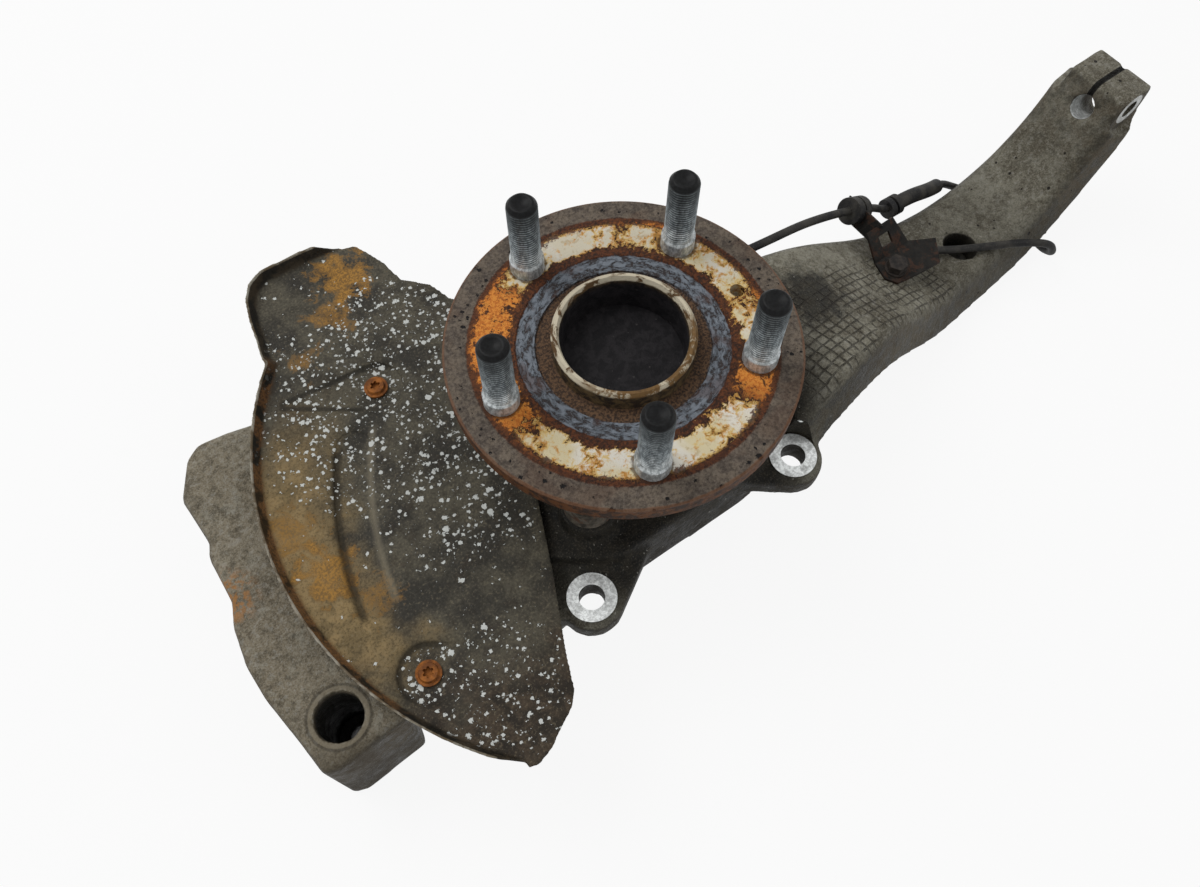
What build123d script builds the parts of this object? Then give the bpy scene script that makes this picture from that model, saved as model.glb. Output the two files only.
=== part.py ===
"""Front steering knuckle with its wheel hub, bearing unit, dust shield and wheel-speed sensor lead.

The origin is the centre of the wheel mounting face. +Z is the spin axis and points outboard, away
from the car. +X points up the swan neck, the way that is up on the car. The part lies on the foot
plane with the hub on top, as it would on a bench.
"""

import os
from math import cos, hypot, radians, sin, tan

from build123d import *

os.makedirs("parts", exist_ok=True)

# Wheel fixing
PITCH_CIRCLE_D = 120.0
STUD_COUNT = 5
STUD_D = 14.0
STUD_SHOULDER_D = 15.8
STUD_SHOULDER_H = 7.0
STUD_REACH = 44.5
STUD_HEAD_D = 20.0
STUD_HEAD_H = 4.0
FIRST_STUD_ANGLE = 28.2
FLANGE_MARGIN = 20.0
FLANGE_T = 9.5
SPIGOT_D = 64.1
SPIGOT_BORE_D = 57.0
SPIGOT_H = 9.3
CUP_DEPTH = 20.0
ROTOR_SCREW_D = 6.8
ROTOR_SCREW_R = 59.0
ROTOR_SCREW_ANGLE = -8.0

# Bearing unit
BALL_D = 12.0
BALL_COUNT = 14
ROW_PITCH_R = 31.0
OUTBOARD_ROW_Z = -36.0
INBOARD_ROW_Z = -84.0
RACE_CLEARANCE = 0.04
INNER_SHOULDER_R = 28.5
OUTER_LAND_R = 33.5
PILOT_R = 42.0
RING_TOP_Z = -18.0
RING_END_Z = -99.0
SEAT_Z = -58.0
EAR_T = 14.0
EAR_R = 12.0
EAR_PITCH_R = 55.0
EAR_COUNT = 4
SEAT_MARGIN = 2.0
FIRST_EAR_ANGLE = 37.0
BEARING_BOLT_D = 10.0
BOLT_HOLE_D = 10.8
SPINDLE_R = 26.0
INNER_RING_BORE_R = 20.0
ENCODER_Z = -66.0
ENCODER_H = 9.0
CAGE_GAP = 0.55
CAGE_HALF_H = 7.3
POCKET_CLEARANCE = 0.2

# Knuckle casting
CARRIER_TOP_Z = -70.0
CARRIER_BACK_Z = -100.0
FOOT_Z = -140.0
BAR_TOP_Z = -74.0
BAR_BORE_D = 22.0
BAR_BORE_AT = (-188.7, -43.7)
BAR_ARCH_Z = -112.0
BAR_BORE_DEPTH = 52.0
BAR_THROUGH_D = 12.0
WEB_T = 21.0
WINDOW_AT = (-118.0, 20.0)
WINDOW_D = 54.0
LUG_FACE_Z = -76.0
LUG_BACK_Z = -90.0
LUG_HOLE_D = 12.5
LUG_PAD_R = 12.0
LUG_R = 15.5
LUGS_AT = [(-66.1, -65.6), (58.9, -66.4)]
NECK_HOLE_D = 20.0
NECK_HOLE_AT = (250.0, -12.5)
CLAMP_BORE_D = 13.0
CLAMP_BORE_Y = -2.5
CLAMP_MOUTH_X = 335.5
CLAMP_MOUTH_Z = -57.5
CLAMP_TILT = 20.0
CLAMP_SLIT_W = 2.4
PINCH_BORE_D = 10.5
PINCH_AT = (351.0, -52.5)
PINCH_FACE_Y = -22.0
HEAD_TOP_Z = -44.0
HEAD_X = 350.0
HEAD_LEFT_Y = 17.0
SHOULDER_Z = -58.0

# Dust shield
SHEET_T = 1.2
SHIELD_Z = -66.0
SHIELD_LIP_H = 8.0
SHIELD_LIP_FLARE = 24.0
SHIELD_RIM_R = 176.5
SHIELD_PRESS = 2.5
SHIELD_SCREWS_AT = [(-90.4, 85.7), (-146.6, -53.1)]
SHIELD_SCREW_D = 6.0

# Wheel-speed sensor and its lead
SENSOR_ANGLE = 68.0
SENSOR_D = 10.0
SENSOR_SEAT_R = 66.0
SENSOR_TIP_GAP = 1.0
LEAD_D = 4.6
SLEEVE_D = 9.0
GROMMET_D = 15.5
GROMMET_NECK_D = 8.6
BRACKET_T = 1.6
BRACKET_BOLT_D = 6.0
BRACKET_BOLT_AT = (188.5, -10.5)
BRACKET_Z = -88.0


# Sizes that follow from the ones above
FLANGE_D = PITCH_CIRCLE_D + 2 * FLANGE_MARGIN
RING_GAP_Z = 16.5
SPINDLE_STEP_Z = INBOARD_ROW_Z + 9.0
INNER_RING_END_Z = INBOARD_ROW_Z - 9.0
STUD_HEAD_Z = -FLANGE_T
SEAL_BORE_R = OUTER_LAND_R + 3.0
SEAL_H = 8.0
SEAL_GAP = 0.08
CAP_T = 1.2
CAP_SKIRT_H = 5.0
ENCODER_R = SPINDLE_R + 3.0
SENSOR_HOLE_DEPTH = SENSOR_SEAT_R - ENCODER_R
SENSOR_FIT = 0.1
SENSOR_BOLT_D = 6.0
SENSOR_BOLT_OUT = 16.0


def polar(radius, angle):
    return (radius * cos(radians(angle)), radius * sin(radians(angle)))


SENSOR_PLANE = Plane(
    origin=polar(SENSOR_SEAT_R, SENSOR_ANGLE) + (ENCODER_Z,),
    x_dir=(0, 0, -1),
    z_dir=polar(1, SENSOR_ANGLE) + (0,),
)


# The stud bore runs square to the inner face of the clamp head
CLAMP_RUN = (cos(radians(CLAMP_TILT)), -sin(radians(CLAMP_TILT)))
CLAMP_AXIS_ENDS = [
    (CLAMP_MOUTH_X + s * CLAMP_RUN[0], CLAMP_MOUTH_Z + s * CLAMP_RUN[1]) for s in (-12, 45)
]
CLAMP_PLANE = Plane(
    origin=(CLAMP_MOUTH_X, CLAMP_BORE_Y, CLAMP_MOUTH_Z),
    x_dir=(0, 1, 0),
    z_dir=(CLAMP_RUN[0], 0, CLAMP_RUN[1]),
)


def save(piece, name):
    piece.part.label = name
    export_step(piece.part, f"parts/{name}.step")


# Neck of the casting: each station is its top-face centre, slope, half-width and thickness
NECK = [
    ((66.0, -13.0, -61.0), 0.0, 49.0, 34.0),
    ((100.0, -12.0, -55.0), -12.0, 43.0, 31.0),
    ((133.0, -11.0, -61.0), -27.0, 38.0, 35.0),
    ((168.0, -9.0, -79.0), -31.0, 33.5, 31.0),
    ((201.0, -8.0, -98.0), -29.0, 31.0, 30.0),
    ((233.0, -6.0, -109.0), -17.0, 28.8, 29.0),
    ((259.0, -5.0, -111.0), 8.0, 26.4, 28.0),
    ((289.0, -3.0, -109.0), 35.0, 24.8, 29.0),
    ((316.0, -2.0, -90.0), 60.0, 23.4, 30.0),
    ((334.5, -2.0, -60.0), 70.0, 23.5, 29.0),
    ((343.5, -2.0, -36.0), 69.0, 23.5, 25.0),
]
NECK_SPREAD = [9.0, 9.0, 9.0, 9.0, 9.0, 8.5, 8.0, 7.0, 5.0, 3.0, 1.0]


def neck_section(station, spread):
    """Closed profile of the neck on the plane across its run, widest near its back edge."""
    (x, y, z), slope, half, thick = station
    along = Vector(cos(radians(slope)), 0, sin(radians(slope)))
    plane = Plane(origin=(x, y, z), x_dir=(0, 1, 0), z_dir=along)
    wide = half + spread
    with BuildSketch(plane) as section:
        with BuildLine():
            Polyline(
                (-half + 4, 0),
                (half - 4, 0),
                (half + 0.5, -4),
                (wide, -thick + 7),
                (wide - 6, -thick),
                (6 - wide, -thick),
                (-wide, -thick + 7),
                (-half - 0.5, -4),
                close=True,
            )
        make_face()
    return section.sketch


# Neck blank
with BuildPart() as neck:
    for station, spread in zip(NECK, NECK_SPREAD):
        add(neck_section(station, spread))
    loft()

# Knuckle casting
BAR_OUTLINE = [
    (-145.0, 109.5),
    (-163.2, 114.5),
    (-178.6, 117.0),
    (-187.0, 112.0),
    (-198.5, 94.0),
    (-198.0, 66.0),
    (-201.5, 59.5),
    (-203.0, 33.0),
    (-208.0, 22.0),
    (-211.8, 2.0),
    (-211.8, -16.0),
    (-208.5, -43.0),
    (-207.0, -60.0),
    (-200.0, -63.0),
    (-165.5, -61.5),
    (-160.5, -40.0),
    (-158.0, 60.0),
]

CARRIER_OUTLINE = [
    (-46.0, -63.0),
    (30.0, -65.0),
    (84.0, -58.0),
    (96.0, -20.0),
    (96.0, 34.0),
    (58.0, 62.0),
    (-30.0, 68.0),
    (-74.0, 50.0),
    (-78.0, -40.0),
]

with BuildPart() as casting:
    # Carrier round the bearing, drafted from its back face
    with BuildSketch(Plane.XY.offset(CARRIER_BACK_Z)) as carrier_foot:
        with BuildLine():
            Polyline(*CARRIER_OUTLINE, close=True)
        make_face()
        fillet(carrier_foot.vertices(), 14)
    extrude(amount=CARRIER_TOP_Z - CARRIER_BACK_Z, taper=7)
    # Seat for the bearing flange: a ring and four ears
    with BuildSketch(Plane.XY.offset(CARRIER_TOP_Z - 1)):
        Circle(PILOT_R + 10)
        with PolarLocations(EAR_PITCH_R, EAR_COUNT, start_angle=FIRST_EAR_ANGLE):
            Circle(EAR_R + SEAT_MARGIN)
    extrude(amount=SEAT_Z - CARRIER_TOP_Z + 1)
    # Arms of the two caliper lugs
    for (x, y), inner in zip(LUGS_AT, [(-40, -34), (42, -34)]):
        with BuildSketch(Plane.XY.offset(LUG_BACK_Z)):
            with BuildSketch(mode=Mode.PRIVATE) as arm_ends:
                with Locations((x, y)):
                    Circle(LUG_R)
                with Locations(inner):
                    Circle(30)
            make_hull(arm_ends.edges())
        extrude(amount=LUG_FACE_Z - 1.5 - LUG_BACK_Z)
    with BuildSketch(Plane.XY.offset(LUG_BACK_Z)):
        with Locations(*LUGS_AT):
            Circle(LUG_PAD_R)
    extrude(amount=LUG_FACE_Z - LUG_BACK_Z)
    # Bar across the bottom with a foot at each end
    with BuildSketch(Plane.XY.offset(BAR_TOP_Z)):
        with BuildLine():
            Polyline(*BAR_OUTLINE, close=True)
        make_face()
    extrude(amount=FOOT_Z - BAR_TOP_Z)
    with BuildSketch(Plane.YZ.offset(-230)):
        with BuildLine():
            Polyline((-14, FOOT_Z - 1), (2, BAR_ARCH_Z), (62, BAR_ARCH_Z), (78, FOOT_Z - 1), close=True)
        make_face()
    extrude(amount=90, mode=Mode.SUBTRACT)
    fillet(casting.edges().filter_by(Plane.XY).filter_by(lambda e: abs(e.center().Z - BAR_TOP_Z) < 0.01), 5.0)
    with BuildSketch(Plane.XY.offset(BAR_TOP_Z - 8)):
        with Locations(BAR_BORE_AT):
            Circle(BAR_BORE_D / 2 + 3.2)
    extrude(amount=8.6)
    # Web from the bar to the carrier, with a window
    with BuildSketch(Plane.XY.offset(-99)):
        with BuildLine():
            Polyline((-170, 104), (-98, 100), (-36, 60), (-40, -60), (-92, -66), (-170, -58), close=True)
        make_face()
        with Locations(WINDOW_AT):
            Circle(WINDOW_D / 2, mode=Mode.SUBTRACT)
    extrude(amount=WEB_T)
    # Bosses under the shield screws
    with BuildSketch(Plane.XY.offset(-90)):
        with Locations(*SHIELD_SCREWS_AT):
            Circle(7)
    extrude(amount=SHIELD_Z - SHIELD_PRESS - 0.4 + 90)
    add(neck.part)
    # Clamp head: cut flat on the end and narrower than the neck
    with BuildSketch(Plane.XY.offset(HEAD_TOP_Z)):
        with Locations((HEAD_X, 0)):
            Rectangle(60, 80)
    extrude(amount=40, mode=Mode.SUBTRACT)
    with BuildSketch(Plane.XZ.offset(-HEAD_LEFT_Y)):
        with Locations((HEAD_X, HEAD_TOP_Z)):
            Rectangle(60, 2 * (HEAD_TOP_Z - SHOULDER_Z))
    extrude(amount=-20, mode=Mode.SUBTRACT)
    # Pad under the cable bracket, faced flat
    with BuildSketch(Plane.XY.offset(BRACKET_Z)):
        with Locations(BRACKET_BOLT_AT):
            Circle(9)
    extrude(amount=-12)
    with BuildSketch(Plane.XY.offset(BRACKET_Z)):
        with Locations((BRACKET_BOLT_AT[0] - 1, BRACKET_BOLT_AT[1] + 1)):
            Rectangle(23, 30)
    extrude(amount=12, mode=Mode.SUBTRACT)
    # Bearing bore and bolt holes
    with Locations(Location((0, 0, CARRIER_BACK_Z - 5))):
        Cylinder(PILOT_R, 60, align=(Align.CENTER, Align.CENTER, Align.MIN), mode=Mode.SUBTRACT)
    with BuildSketch(Plane.XY.offset(SEAT_Z)):
        with PolarLocations(EAR_PITCH_R, EAR_COUNT, start_angle=FIRST_EAR_ANGLE):
            Circle(BOLT_HOLE_D / 2)
    extrude(amount=-60, mode=Mode.SUBTRACT)
    # Clearance over the seat for the bearing flange where the neck rises beside it
    with BuildSketch(Plane.XY.offset(SEAT_Z)):
        Circle(EAR_PITCH_R + EAR_R + SEAT_MARGIN)
    extrude(amount=40, mode=Mode.SUBTRACT)
    # Lug holes, bar bore and the round hole in the neck
    with BuildSketch(Plane.XY.offset(LUG_FACE_Z)):
        with Locations(*LUGS_AT):
            Circle(LUG_HOLE_D / 2)
    extrude(amount=-40, mode=Mode.SUBTRACT)
    with BuildSketch(Plane.XY.offset(BAR_TOP_Z + 2)):
        with Locations(BAR_BORE_AT):
            Circle(BAR_BORE_D / 2)
    extrude(amount=-BAR_BORE_DEPTH, mode=Mode.SUBTRACT)
    with BuildSketch(Plane.XY.offset(FOOT_Z)):
        with Locations(BAR_BORE_AT):
            Circle(BAR_THROUGH_D / 2)
    extrude(amount=40, mode=Mode.SUBTRACT)
    with BuildSketch(Plane.XY.offset(-95)):
        with Locations(NECK_HOLE_AT):
            Circle(NECK_HOLE_D / 2)
    extrude(amount=-33, mode=Mode.SUBTRACT)
    # Stud bore of the clamp, its slit, and the pinch bolt hole with its faced boss
    with BuildSketch(CLAMP_PLANE):
        Circle(CLAMP_BORE_D / 2)
    extrude(amount=45, both=True, mode=Mode.SUBTRACT)
    with BuildSketch(Plane.XZ.offset(-CLAMP_BORE_Y - 1)):
        with BuildLine():
            Polyline(
                CLAMP_AXIS_ENDS[0],
                CLAMP_AXIS_ENDS[1],
                (CLAMP_AXIS_ENDS[1][0], HEAD_TOP_Z + 5),
                (CLAMP_AXIS_ENDS[0][0], HEAD_TOP_Z + 5),
                close=True,
            )
        make_face()
    extrude(amount=CLAMP_SLIT_W / 2, both=True, mode=Mode.SUBTRACT)
    with BuildSketch(Plane.XZ.offset(-PINCH_FACE_Y)):
        with Locations(PINCH_AT):
            Circle(15)
        with Locations((HEAD_X, HEAD_TOP_Z)):
            Rectangle(60, 16)
    extrude(amount=20, mode=Mode.SUBTRACT)
    with BuildSketch(Plane.XZ.offset(-PINCH_FACE_Y - 8)):
        with Locations(PINCH_AT):
            Circle(10.5)
    extrude(amount=8)
    with BuildSketch(Plane.XZ.offset(-PINCH_FACE_Y + 1)):
        with Locations(PINCH_AT):
            Circle(PINCH_BORE_D / 2)
    extrude(amount=-60, mode=Mode.SUBTRACT)
    # Flat for the sensor, its hole into the bearing bore and the tapped hole of its bolt
    with BuildSketch(SENSOR_PLANE) as sensor_flat:
        with Locations((6, 0)):
            Rectangle(40, 60)
    extrude(amount=30, mode=Mode.SUBTRACT)
    with BuildSketch(SENSOR_PLANE):
        Circle(SENSOR_D / 2 + SENSOR_FIT)
    extrude(amount=-SENSOR_HOLE_DEPTH, mode=Mode.SUBTRACT)
    with BuildSketch(SENSOR_PLANE):
        with Locations((SENSOR_BOLT_OUT, 0)):
            Circle(SENSOR_BOLT_D / 2)
    extrude(amount=-14, mode=Mode.SUBTRACT)
    # Tapped holes for the shield screws and the bracket bolt
    with BuildSketch(Plane.XY.offset(SHIELD_Z)):
        with Locations(*SHIELD_SCREWS_AT):
            Circle(SHIELD_SCREW_D / 2)
    extrude(amount=-22, mode=Mode.SUBTRACT)
    with BuildSketch(Plane.XY.offset(BRACKET_Z)):
        with Locations(BRACKET_BOLT_AT):
            Circle(BRACKET_BOLT_D / 2)
    extrude(amount=-18, mode=Mode.SUBTRACT)
save(casting, "knuckle_casting")

# Wheel hub: flange, centring spigot with a blind cup, and the spindle
with BuildPart() as hub:
    with BuildSketch(Plane.XZ):
        with BuildLine():
            Polyline(
                (0, -CUP_DEPTH + SPIGOT_H),
                (SPIGOT_BORE_D / 2 - 1.2, -CUP_DEPTH + SPIGOT_H),
                (SPIGOT_BORE_D / 2, SPIGOT_H - 2.2),
                (SPIGOT_BORE_D / 2 + 1.0, SPIGOT_H),
                (SPIGOT_D / 2 - 1.2, SPIGOT_H),
                (SPIGOT_D / 2, SPIGOT_H - 1.4),
                (SPIGOT_D / 2, -1.6),
                (39.0, -1.6),
                (39.4, -0.6),
                (47.6, -0.6),
                (48.2, 0),
                (FLANGE_D / 2 - 0.8, 0),
                (FLANGE_D / 2, -0.8),
                (FLANGE_D / 2, -FLANGE_T + 1.0),
                (FLANGE_D / 2 - 1.0, -FLANGE_T),
                (49, -FLANGE_T),
                (46, -FLANGE_T - 3.0),
                (38, -RING_GAP_Z),
                (INNER_SHOULDER_R, -RING_GAP_Z),
                (INNER_SHOULDER_R, OUTBOARD_ROW_Z - 1),
                (SPINDLE_R, OUTBOARD_ROW_Z - 3),
                (SPINDLE_R, SPINDLE_STEP_Z),
                (INNER_RING_BORE_R, SPINDLE_STEP_Z),
                (INNER_RING_BORE_R, INNER_RING_END_Z),
                (INNER_RING_BORE_R + 4.5, INNER_RING_END_Z),
                (INNER_RING_BORE_R + 3.0, INNER_RING_END_Z - 3.0),
                (0, INNER_RING_END_Z - 3.0),
                close=True,
            )
        make_face()
    revolve(axis=Axis.Z)
    with Locations((0, 0, OUTBOARD_ROW_Z)):
        Torus(ROW_PITCH_R, BALL_D / 2 + RACE_CLEARANCE, mode=Mode.SUBTRACT)
    with BuildSketch(Plane.XY):
        with PolarLocations(PITCH_CIRCLE_D / 2, STUD_COUNT, start_angle=FIRST_STUD_ANGLE):
            Circle(STUD_SHOULDER_D / 2)
        with Locations(polar(ROTOR_SCREW_R, ROTOR_SCREW_ANGLE)):
            Circle(ROTOR_SCREW_D / 2)
    extrude(amount=-30, mode=Mode.SUBTRACT)
save(hub, "wheel_hub")

# Wheel studs, pressed in from behind the flange
with BuildPart() as studs:
    with BuildSketch(Plane.XZ):
        with BuildLine():
            Polyline(
                (0, STUD_REACH - 2.0),
                (2.6, STUD_REACH),
                (STUD_D / 2 - 1.8, STUD_REACH),
                (STUD_D / 2, STUD_REACH - 2.4),
                (STUD_D / 2, STUD_SHOULDER_H + 1.0),
                (STUD_SHOULDER_D / 2, STUD_SHOULDER_H),
                (STUD_SHOULDER_D / 2, STUD_HEAD_Z),
                (STUD_HEAD_D / 2, STUD_HEAD_Z),
                (STUD_HEAD_D / 2, STUD_HEAD_Z - STUD_HEAD_H + 1),
                (STUD_HEAD_D / 2 - 1, STUD_HEAD_Z - STUD_HEAD_H),
                (0, STUD_HEAD_Z - STUD_HEAD_H),
                close=True,
            )
        make_face()
    revolve(axis=Axis.Z)
one_stud = studs.part
with BuildPart() as wheel_studs:
    with PolarLocations(PITCH_CIRCLE_D / 2, STUD_COUNT, start_angle=FIRST_STUD_ANGLE):
        add(one_stud)
save(wheel_studs, "wheel_studs")

# Bearing outer ring with its four-eared bolting flange
with BuildPart() as outer_ring:
    with BuildSketch(Plane.XY.offset(RING_END_Z)):
        Circle(PILOT_R)
    extrude(amount=RING_TOP_Z - RING_END_Z)
    chamfer(outer_ring.edges().group_by(Axis.Z)[-1], 1.5)
    with BuildSketch(Plane.XY.offset(SEAT_Z)):
        Circle(49)
        with PolarLocations(EAR_PITCH_R, EAR_COUNT, start_angle=FIRST_EAR_ANGLE):
            Circle(EAR_R)
    extrude(amount=EAR_T)
    with BuildSketch(Plane.XY.offset(RING_END_Z)):
        Circle(OUTER_LAND_R)
    extrude(amount=RING_TOP_Z - RING_END_Z, mode=Mode.SUBTRACT)
    for face_z, depth in ((RING_TOP_Z, -SEAL_H), (RING_END_Z, CAP_SKIRT_H)):
        with BuildSketch(Plane.XY.offset(face_z)):
            Circle(SEAL_BORE_R)
        extrude(amount=depth, mode=Mode.SUBTRACT)
    with Locations((0, 0, OUTBOARD_ROW_Z), (0, 0, INBOARD_ROW_Z)):
        Torus(ROW_PITCH_R, BALL_D / 2 + RACE_CLEARANCE, mode=Mode.SUBTRACT)
    with BuildSketch(Plane.XY.offset(SEAT_Z)):
        with PolarLocations(EAR_PITCH_R, EAR_COUNT, start_angle=FIRST_EAR_ANGLE):
            Circle(BEARING_BOLT_D / 2)
    extrude(amount=EAR_T, mode=Mode.SUBTRACT)
    with BuildSketch(SENSOR_PLANE):
        Circle(SENSOR_D / 2 + SENSOR_FIT)
    extrude(amount=-SENSOR_HOLE_DEPTH, mode=Mode.SUBTRACT)
save(outer_ring, "bearing_outer_ring")

# Inboard race, pressed on the spindle and held by its formed end
with BuildPart() as inner_ring:
    with BuildSketch(Plane.XZ):
        with BuildLine():
            Polyline(
                (INNER_RING_BORE_R, SPINDLE_STEP_Z),
                (SPINDLE_R, SPINDLE_STEP_Z),
                (SPINDLE_R, INBOARD_ROW_Z + 3),
                (INNER_SHOULDER_R, INBOARD_ROW_Z + 1),
                (INNER_SHOULDER_R, INNER_RING_END_Z),
                (INNER_RING_BORE_R, INNER_RING_END_Z),
                close=True,
            )
        make_face()
    revolve(axis=Axis.Z)
    with Locations((0, 0, INBOARD_ROW_Z)):
        Torus(ROW_PITCH_R, BALL_D / 2 + RACE_CLEARANCE, mode=Mode.SUBTRACT)
save(inner_ring, "bearing_inner_ring")

# Two rows of balls, each in its own cage
for row, row_z in (("outboard", OUTBOARD_ROW_Z), ("inboard", INBOARD_ROW_Z)):
    with BuildPart() as balls:
        with Locations((0, 0, row_z)):
            with PolarLocations(ROW_PITCH_R, BALL_COUNT):
                Sphere(BALL_D / 2)
    save(balls, row + "_balls")
    with BuildPart() as cage:
        with BuildSketch(Plane.XY.offset(row_z - CAGE_HALF_H)):
            Circle(OUTER_LAND_R - CAGE_GAP)
            Circle(INNER_SHOULDER_R + CAGE_GAP, mode=Mode.SUBTRACT)
        extrude(amount=2 * CAGE_HALF_H)
        with Locations((0, 0, row_z)):
            with PolarLocations(ROW_PITCH_R, BALL_COUNT):
                Cylinder(BALL_D / 2 + POCKET_CLEARANCE, 10, rotation=(0, 90, 0), mode=Mode.SUBTRACT)
    save(cage, row + "_cage")

# Outboard seal, pressed in the outer ring and running on the hub
with BuildPart() as seal:
    with BuildSketch(Plane.XY.offset(RING_TOP_Z - SEAL_H + 1)):
        Circle(SEAL_BORE_R)
        Circle(INNER_SHOULDER_R + SEAL_GAP, mode=Mode.SUBTRACT)
    extrude(amount=SEAL_H - 2)
save(seal, "outboard_seal")

# Ring that the sensor reads, pressed on the spindle between the rows
with BuildPart() as encoder:
    with BuildSketch(Plane.XY.offset(ENCODER_Z - ENCODER_H / 2)):
        Circle(ENCODER_R)
        Circle(SPINDLE_R, mode=Mode.SUBTRACT)
    extrude(amount=ENCODER_H)
save(encoder, "encoder_ring")

# Sheet cap closing the inboard end of the bearing
with BuildPart() as cap:
    with BuildSketch(Plane.XY.offset(RING_END_Z - CAP_T)):
        Circle(PILOT_R - 1)
    extrude(amount=CAP_T)
    with BuildSketch(Plane.XY.offset(RING_END_Z)):
        Circle(SEAL_BORE_R)
        Circle(SEAL_BORE_R - CAP_T, mode=Mode.SUBTRACT)
    extrude(amount=CAP_SKIRT_H - 1)
save(cap, "bearing_end_cap")

# Bolts through the casting into the ears
with BuildPart() as bearing_bolts:
    with BuildSketch(Plane.XY.offset(CARRIER_BACK_Z)):
        with PolarLocations(EAR_PITCH_R, EAR_COUNT, start_angle=FIRST_EAR_ANGLE):
            Circle(BEARING_BOLT_D / 2)
    extrude(amount=SEAT_Z + EAR_T - 1 - CARRIER_BACK_Z)
    with BuildSketch(Plane.XY.offset(CARRIER_BACK_Z)):
        with PolarLocations(EAR_PITCH_R, EAR_COUNT, start_angle=FIRST_EAR_ANGLE):
            Circle(BEARING_BOLT_D * 0.95)
    extrude(amount=-1.6)
    with BuildSketch(Plane.XY.offset(CARRIER_BACK_Z)):
        with PolarLocations(EAR_PITCH_R, EAR_COUNT, start_angle=FIRST_EAR_ANGLE):
            RegularPolygon(BEARING_BOLT_D * 0.8, 6, major_radius=False)
    extrude(amount=-9)
save(bearing_bolts, "bearing_bolts")

# Dust shield: one pressed sheet with a turned-up rim, a channel and a pressing round each screw
SHIELD_OUTLINE = [
    (-135.5, -112.5),
    (-129.7, -114.7),
    (-121.3, -112.3),
    (-103.8, -102.8),
    (-99.3, -98.1),
    (-91.1, -79.3),
    (-75.1, -47.5),
    (-59.6, -13.5),
    (-61.0, 0.0),
    (-58.0, 22.0),
    (-58.0, 50.0),
    (-40.0, 66.0),
    (-20.0, 68.0),
    (-12.0, 80.0),
    (-20.0, 95.0),
    (-30.9, 108.2),
    (-34.6, 122.1),
    (-45.7, 134.4),
    (-46.7, 148.1),
    (-53.3, 168.7),
    (-61.0, 171.0),
    (-82.2, 173.6),
    (-104.0, 175.0),
    (-111.5, 171.5),
    (-116.5, 164.5),
    (-120.5, 153.0),
    (-123.0, 141.9),
    (-126.5, 129.0),
]


RIM_START = (-124.0, 126.5)
RIM_END = (-133.0, -110.5)
RIM_MID = polar(SHIELD_RIM_R, 180.0)
LIP_OUT = SHIELD_LIP_H * tan(radians(SHIELD_LIP_FLARE))
CHANNEL = [(-116.8, 63.4), (-136.5, 28.0), (-149.0, -13.0)]
CHANNEL_W = 17.0
PRESS_R = 14.0
PRESS_TIPS = [(-132.4, 102.5), (-100.1, -76.6)]


def shield_face(z):
    """Outline of the shield at a height, closed along the rim by an arc about the spin axis."""
    with BuildSketch(Plane.XY.offset(z)) as face:
        with BuildLine():
            Polyline(RIM_END, *SHIELD_OUTLINE, RIM_START)
            ThreePointArc(RIM_START, RIM_MID, RIM_END)
        make_face()
    return face.sketch


def channel_face(z, grow=0.0):
    """Curved slot of the pressed channel."""
    with BuildSketch(Plane.XY.offset(z)) as face:
        with BuildLine():
            ThreePointArc(*CHANNEL)
        trace(line_width=CHANNEL_W + 2 * grow)
        with Locations(CHANNEL[0], CHANNEL[2]):
            Circle(CHANNEL_W / 2 + grow)
    return face.sketch


def teardrop_face(screw, tip, drop, grow=0.0):
    """Teardrop round a screw, on a plane that slopes from the sheet at the tip down to the screw."""
    run = hypot(tip[0] - screw[0], tip[1] - screw[1])
    away = Vector(tip[0] - screw[0], tip[1] - screw[1], SHIELD_PRESS).normalized()
    across = Vector(-away.Y, away.X, 0).normalized()
    plane = Plane(origin=screw + (SHIELD_Z - SHIELD_PRESS + drop,), x_dir=away, z_dir=away.cross(across))
    with BuildSketch(plane) as face:
        with BuildSketch(mode=Mode.PRIVATE) as ends:
            Circle(PRESS_R + grow)
            with Locations((run, 0)):
                Circle(2.5 + grow)
        make_hull(ends.edges())
    return face.sketch


# Backs of the pressings, level with the sheet's face
with BuildPart() as pressings:
    add(channel_face(SHIELD_Z - SHIELD_PRESS, SHEET_T))
    extrude(amount=SHIELD_PRESS + 0.5)
    for screw, tip in zip(SHIELD_SCREWS_AT, PRESS_TIPS):
        add(teardrop_face(screw, tip, 0.0, SHEET_T))
        extrude(amount=SHIELD_PRESS + 0.8)
    with BuildSketch(Plane.XY.offset(SHIELD_Z + SHEET_T)):
        with Locations((-120, 10)):
            Rectangle(200, 300)
    extrude(amount=10, mode=Mode.SUBTRACT)

# Turned-up rim, swept along the outer edge
lip_points = SHIELD_OUTLINE[20:] + [RIM_START]
lip_ahead = Vector(*lip_points[1]) - Vector(*lip_points[0])
with BuildPart() as lip:
    with BuildLine(Plane.XY.offset(SHIELD_Z)) as lip_path:
        Polyline(*lip_points)
        ThreePointArc(RIM_START, RIM_MID, RIM_END)
    lip_plane = Plane(
        origin=lip_points[0] + (SHIELD_Z,),
        x_dir=lip_ahead.cross(Vector(0, 0, 1)),
        z_dir=lip_ahead,
    )
    with BuildSketch(lip_plane):
        with BuildLine():
            Polyline(
                (-SHEET_T * 1.1, 0),
                (0, 0),
                (LIP_OUT, -SHIELD_LIP_H),
                (LIP_OUT - SHEET_T * 1.1, -SHIELD_LIP_H),
                close=True,
            )
        make_face()
    sweep(path=lip_path.wires()[0], transition=Transition.RIGHT)

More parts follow.
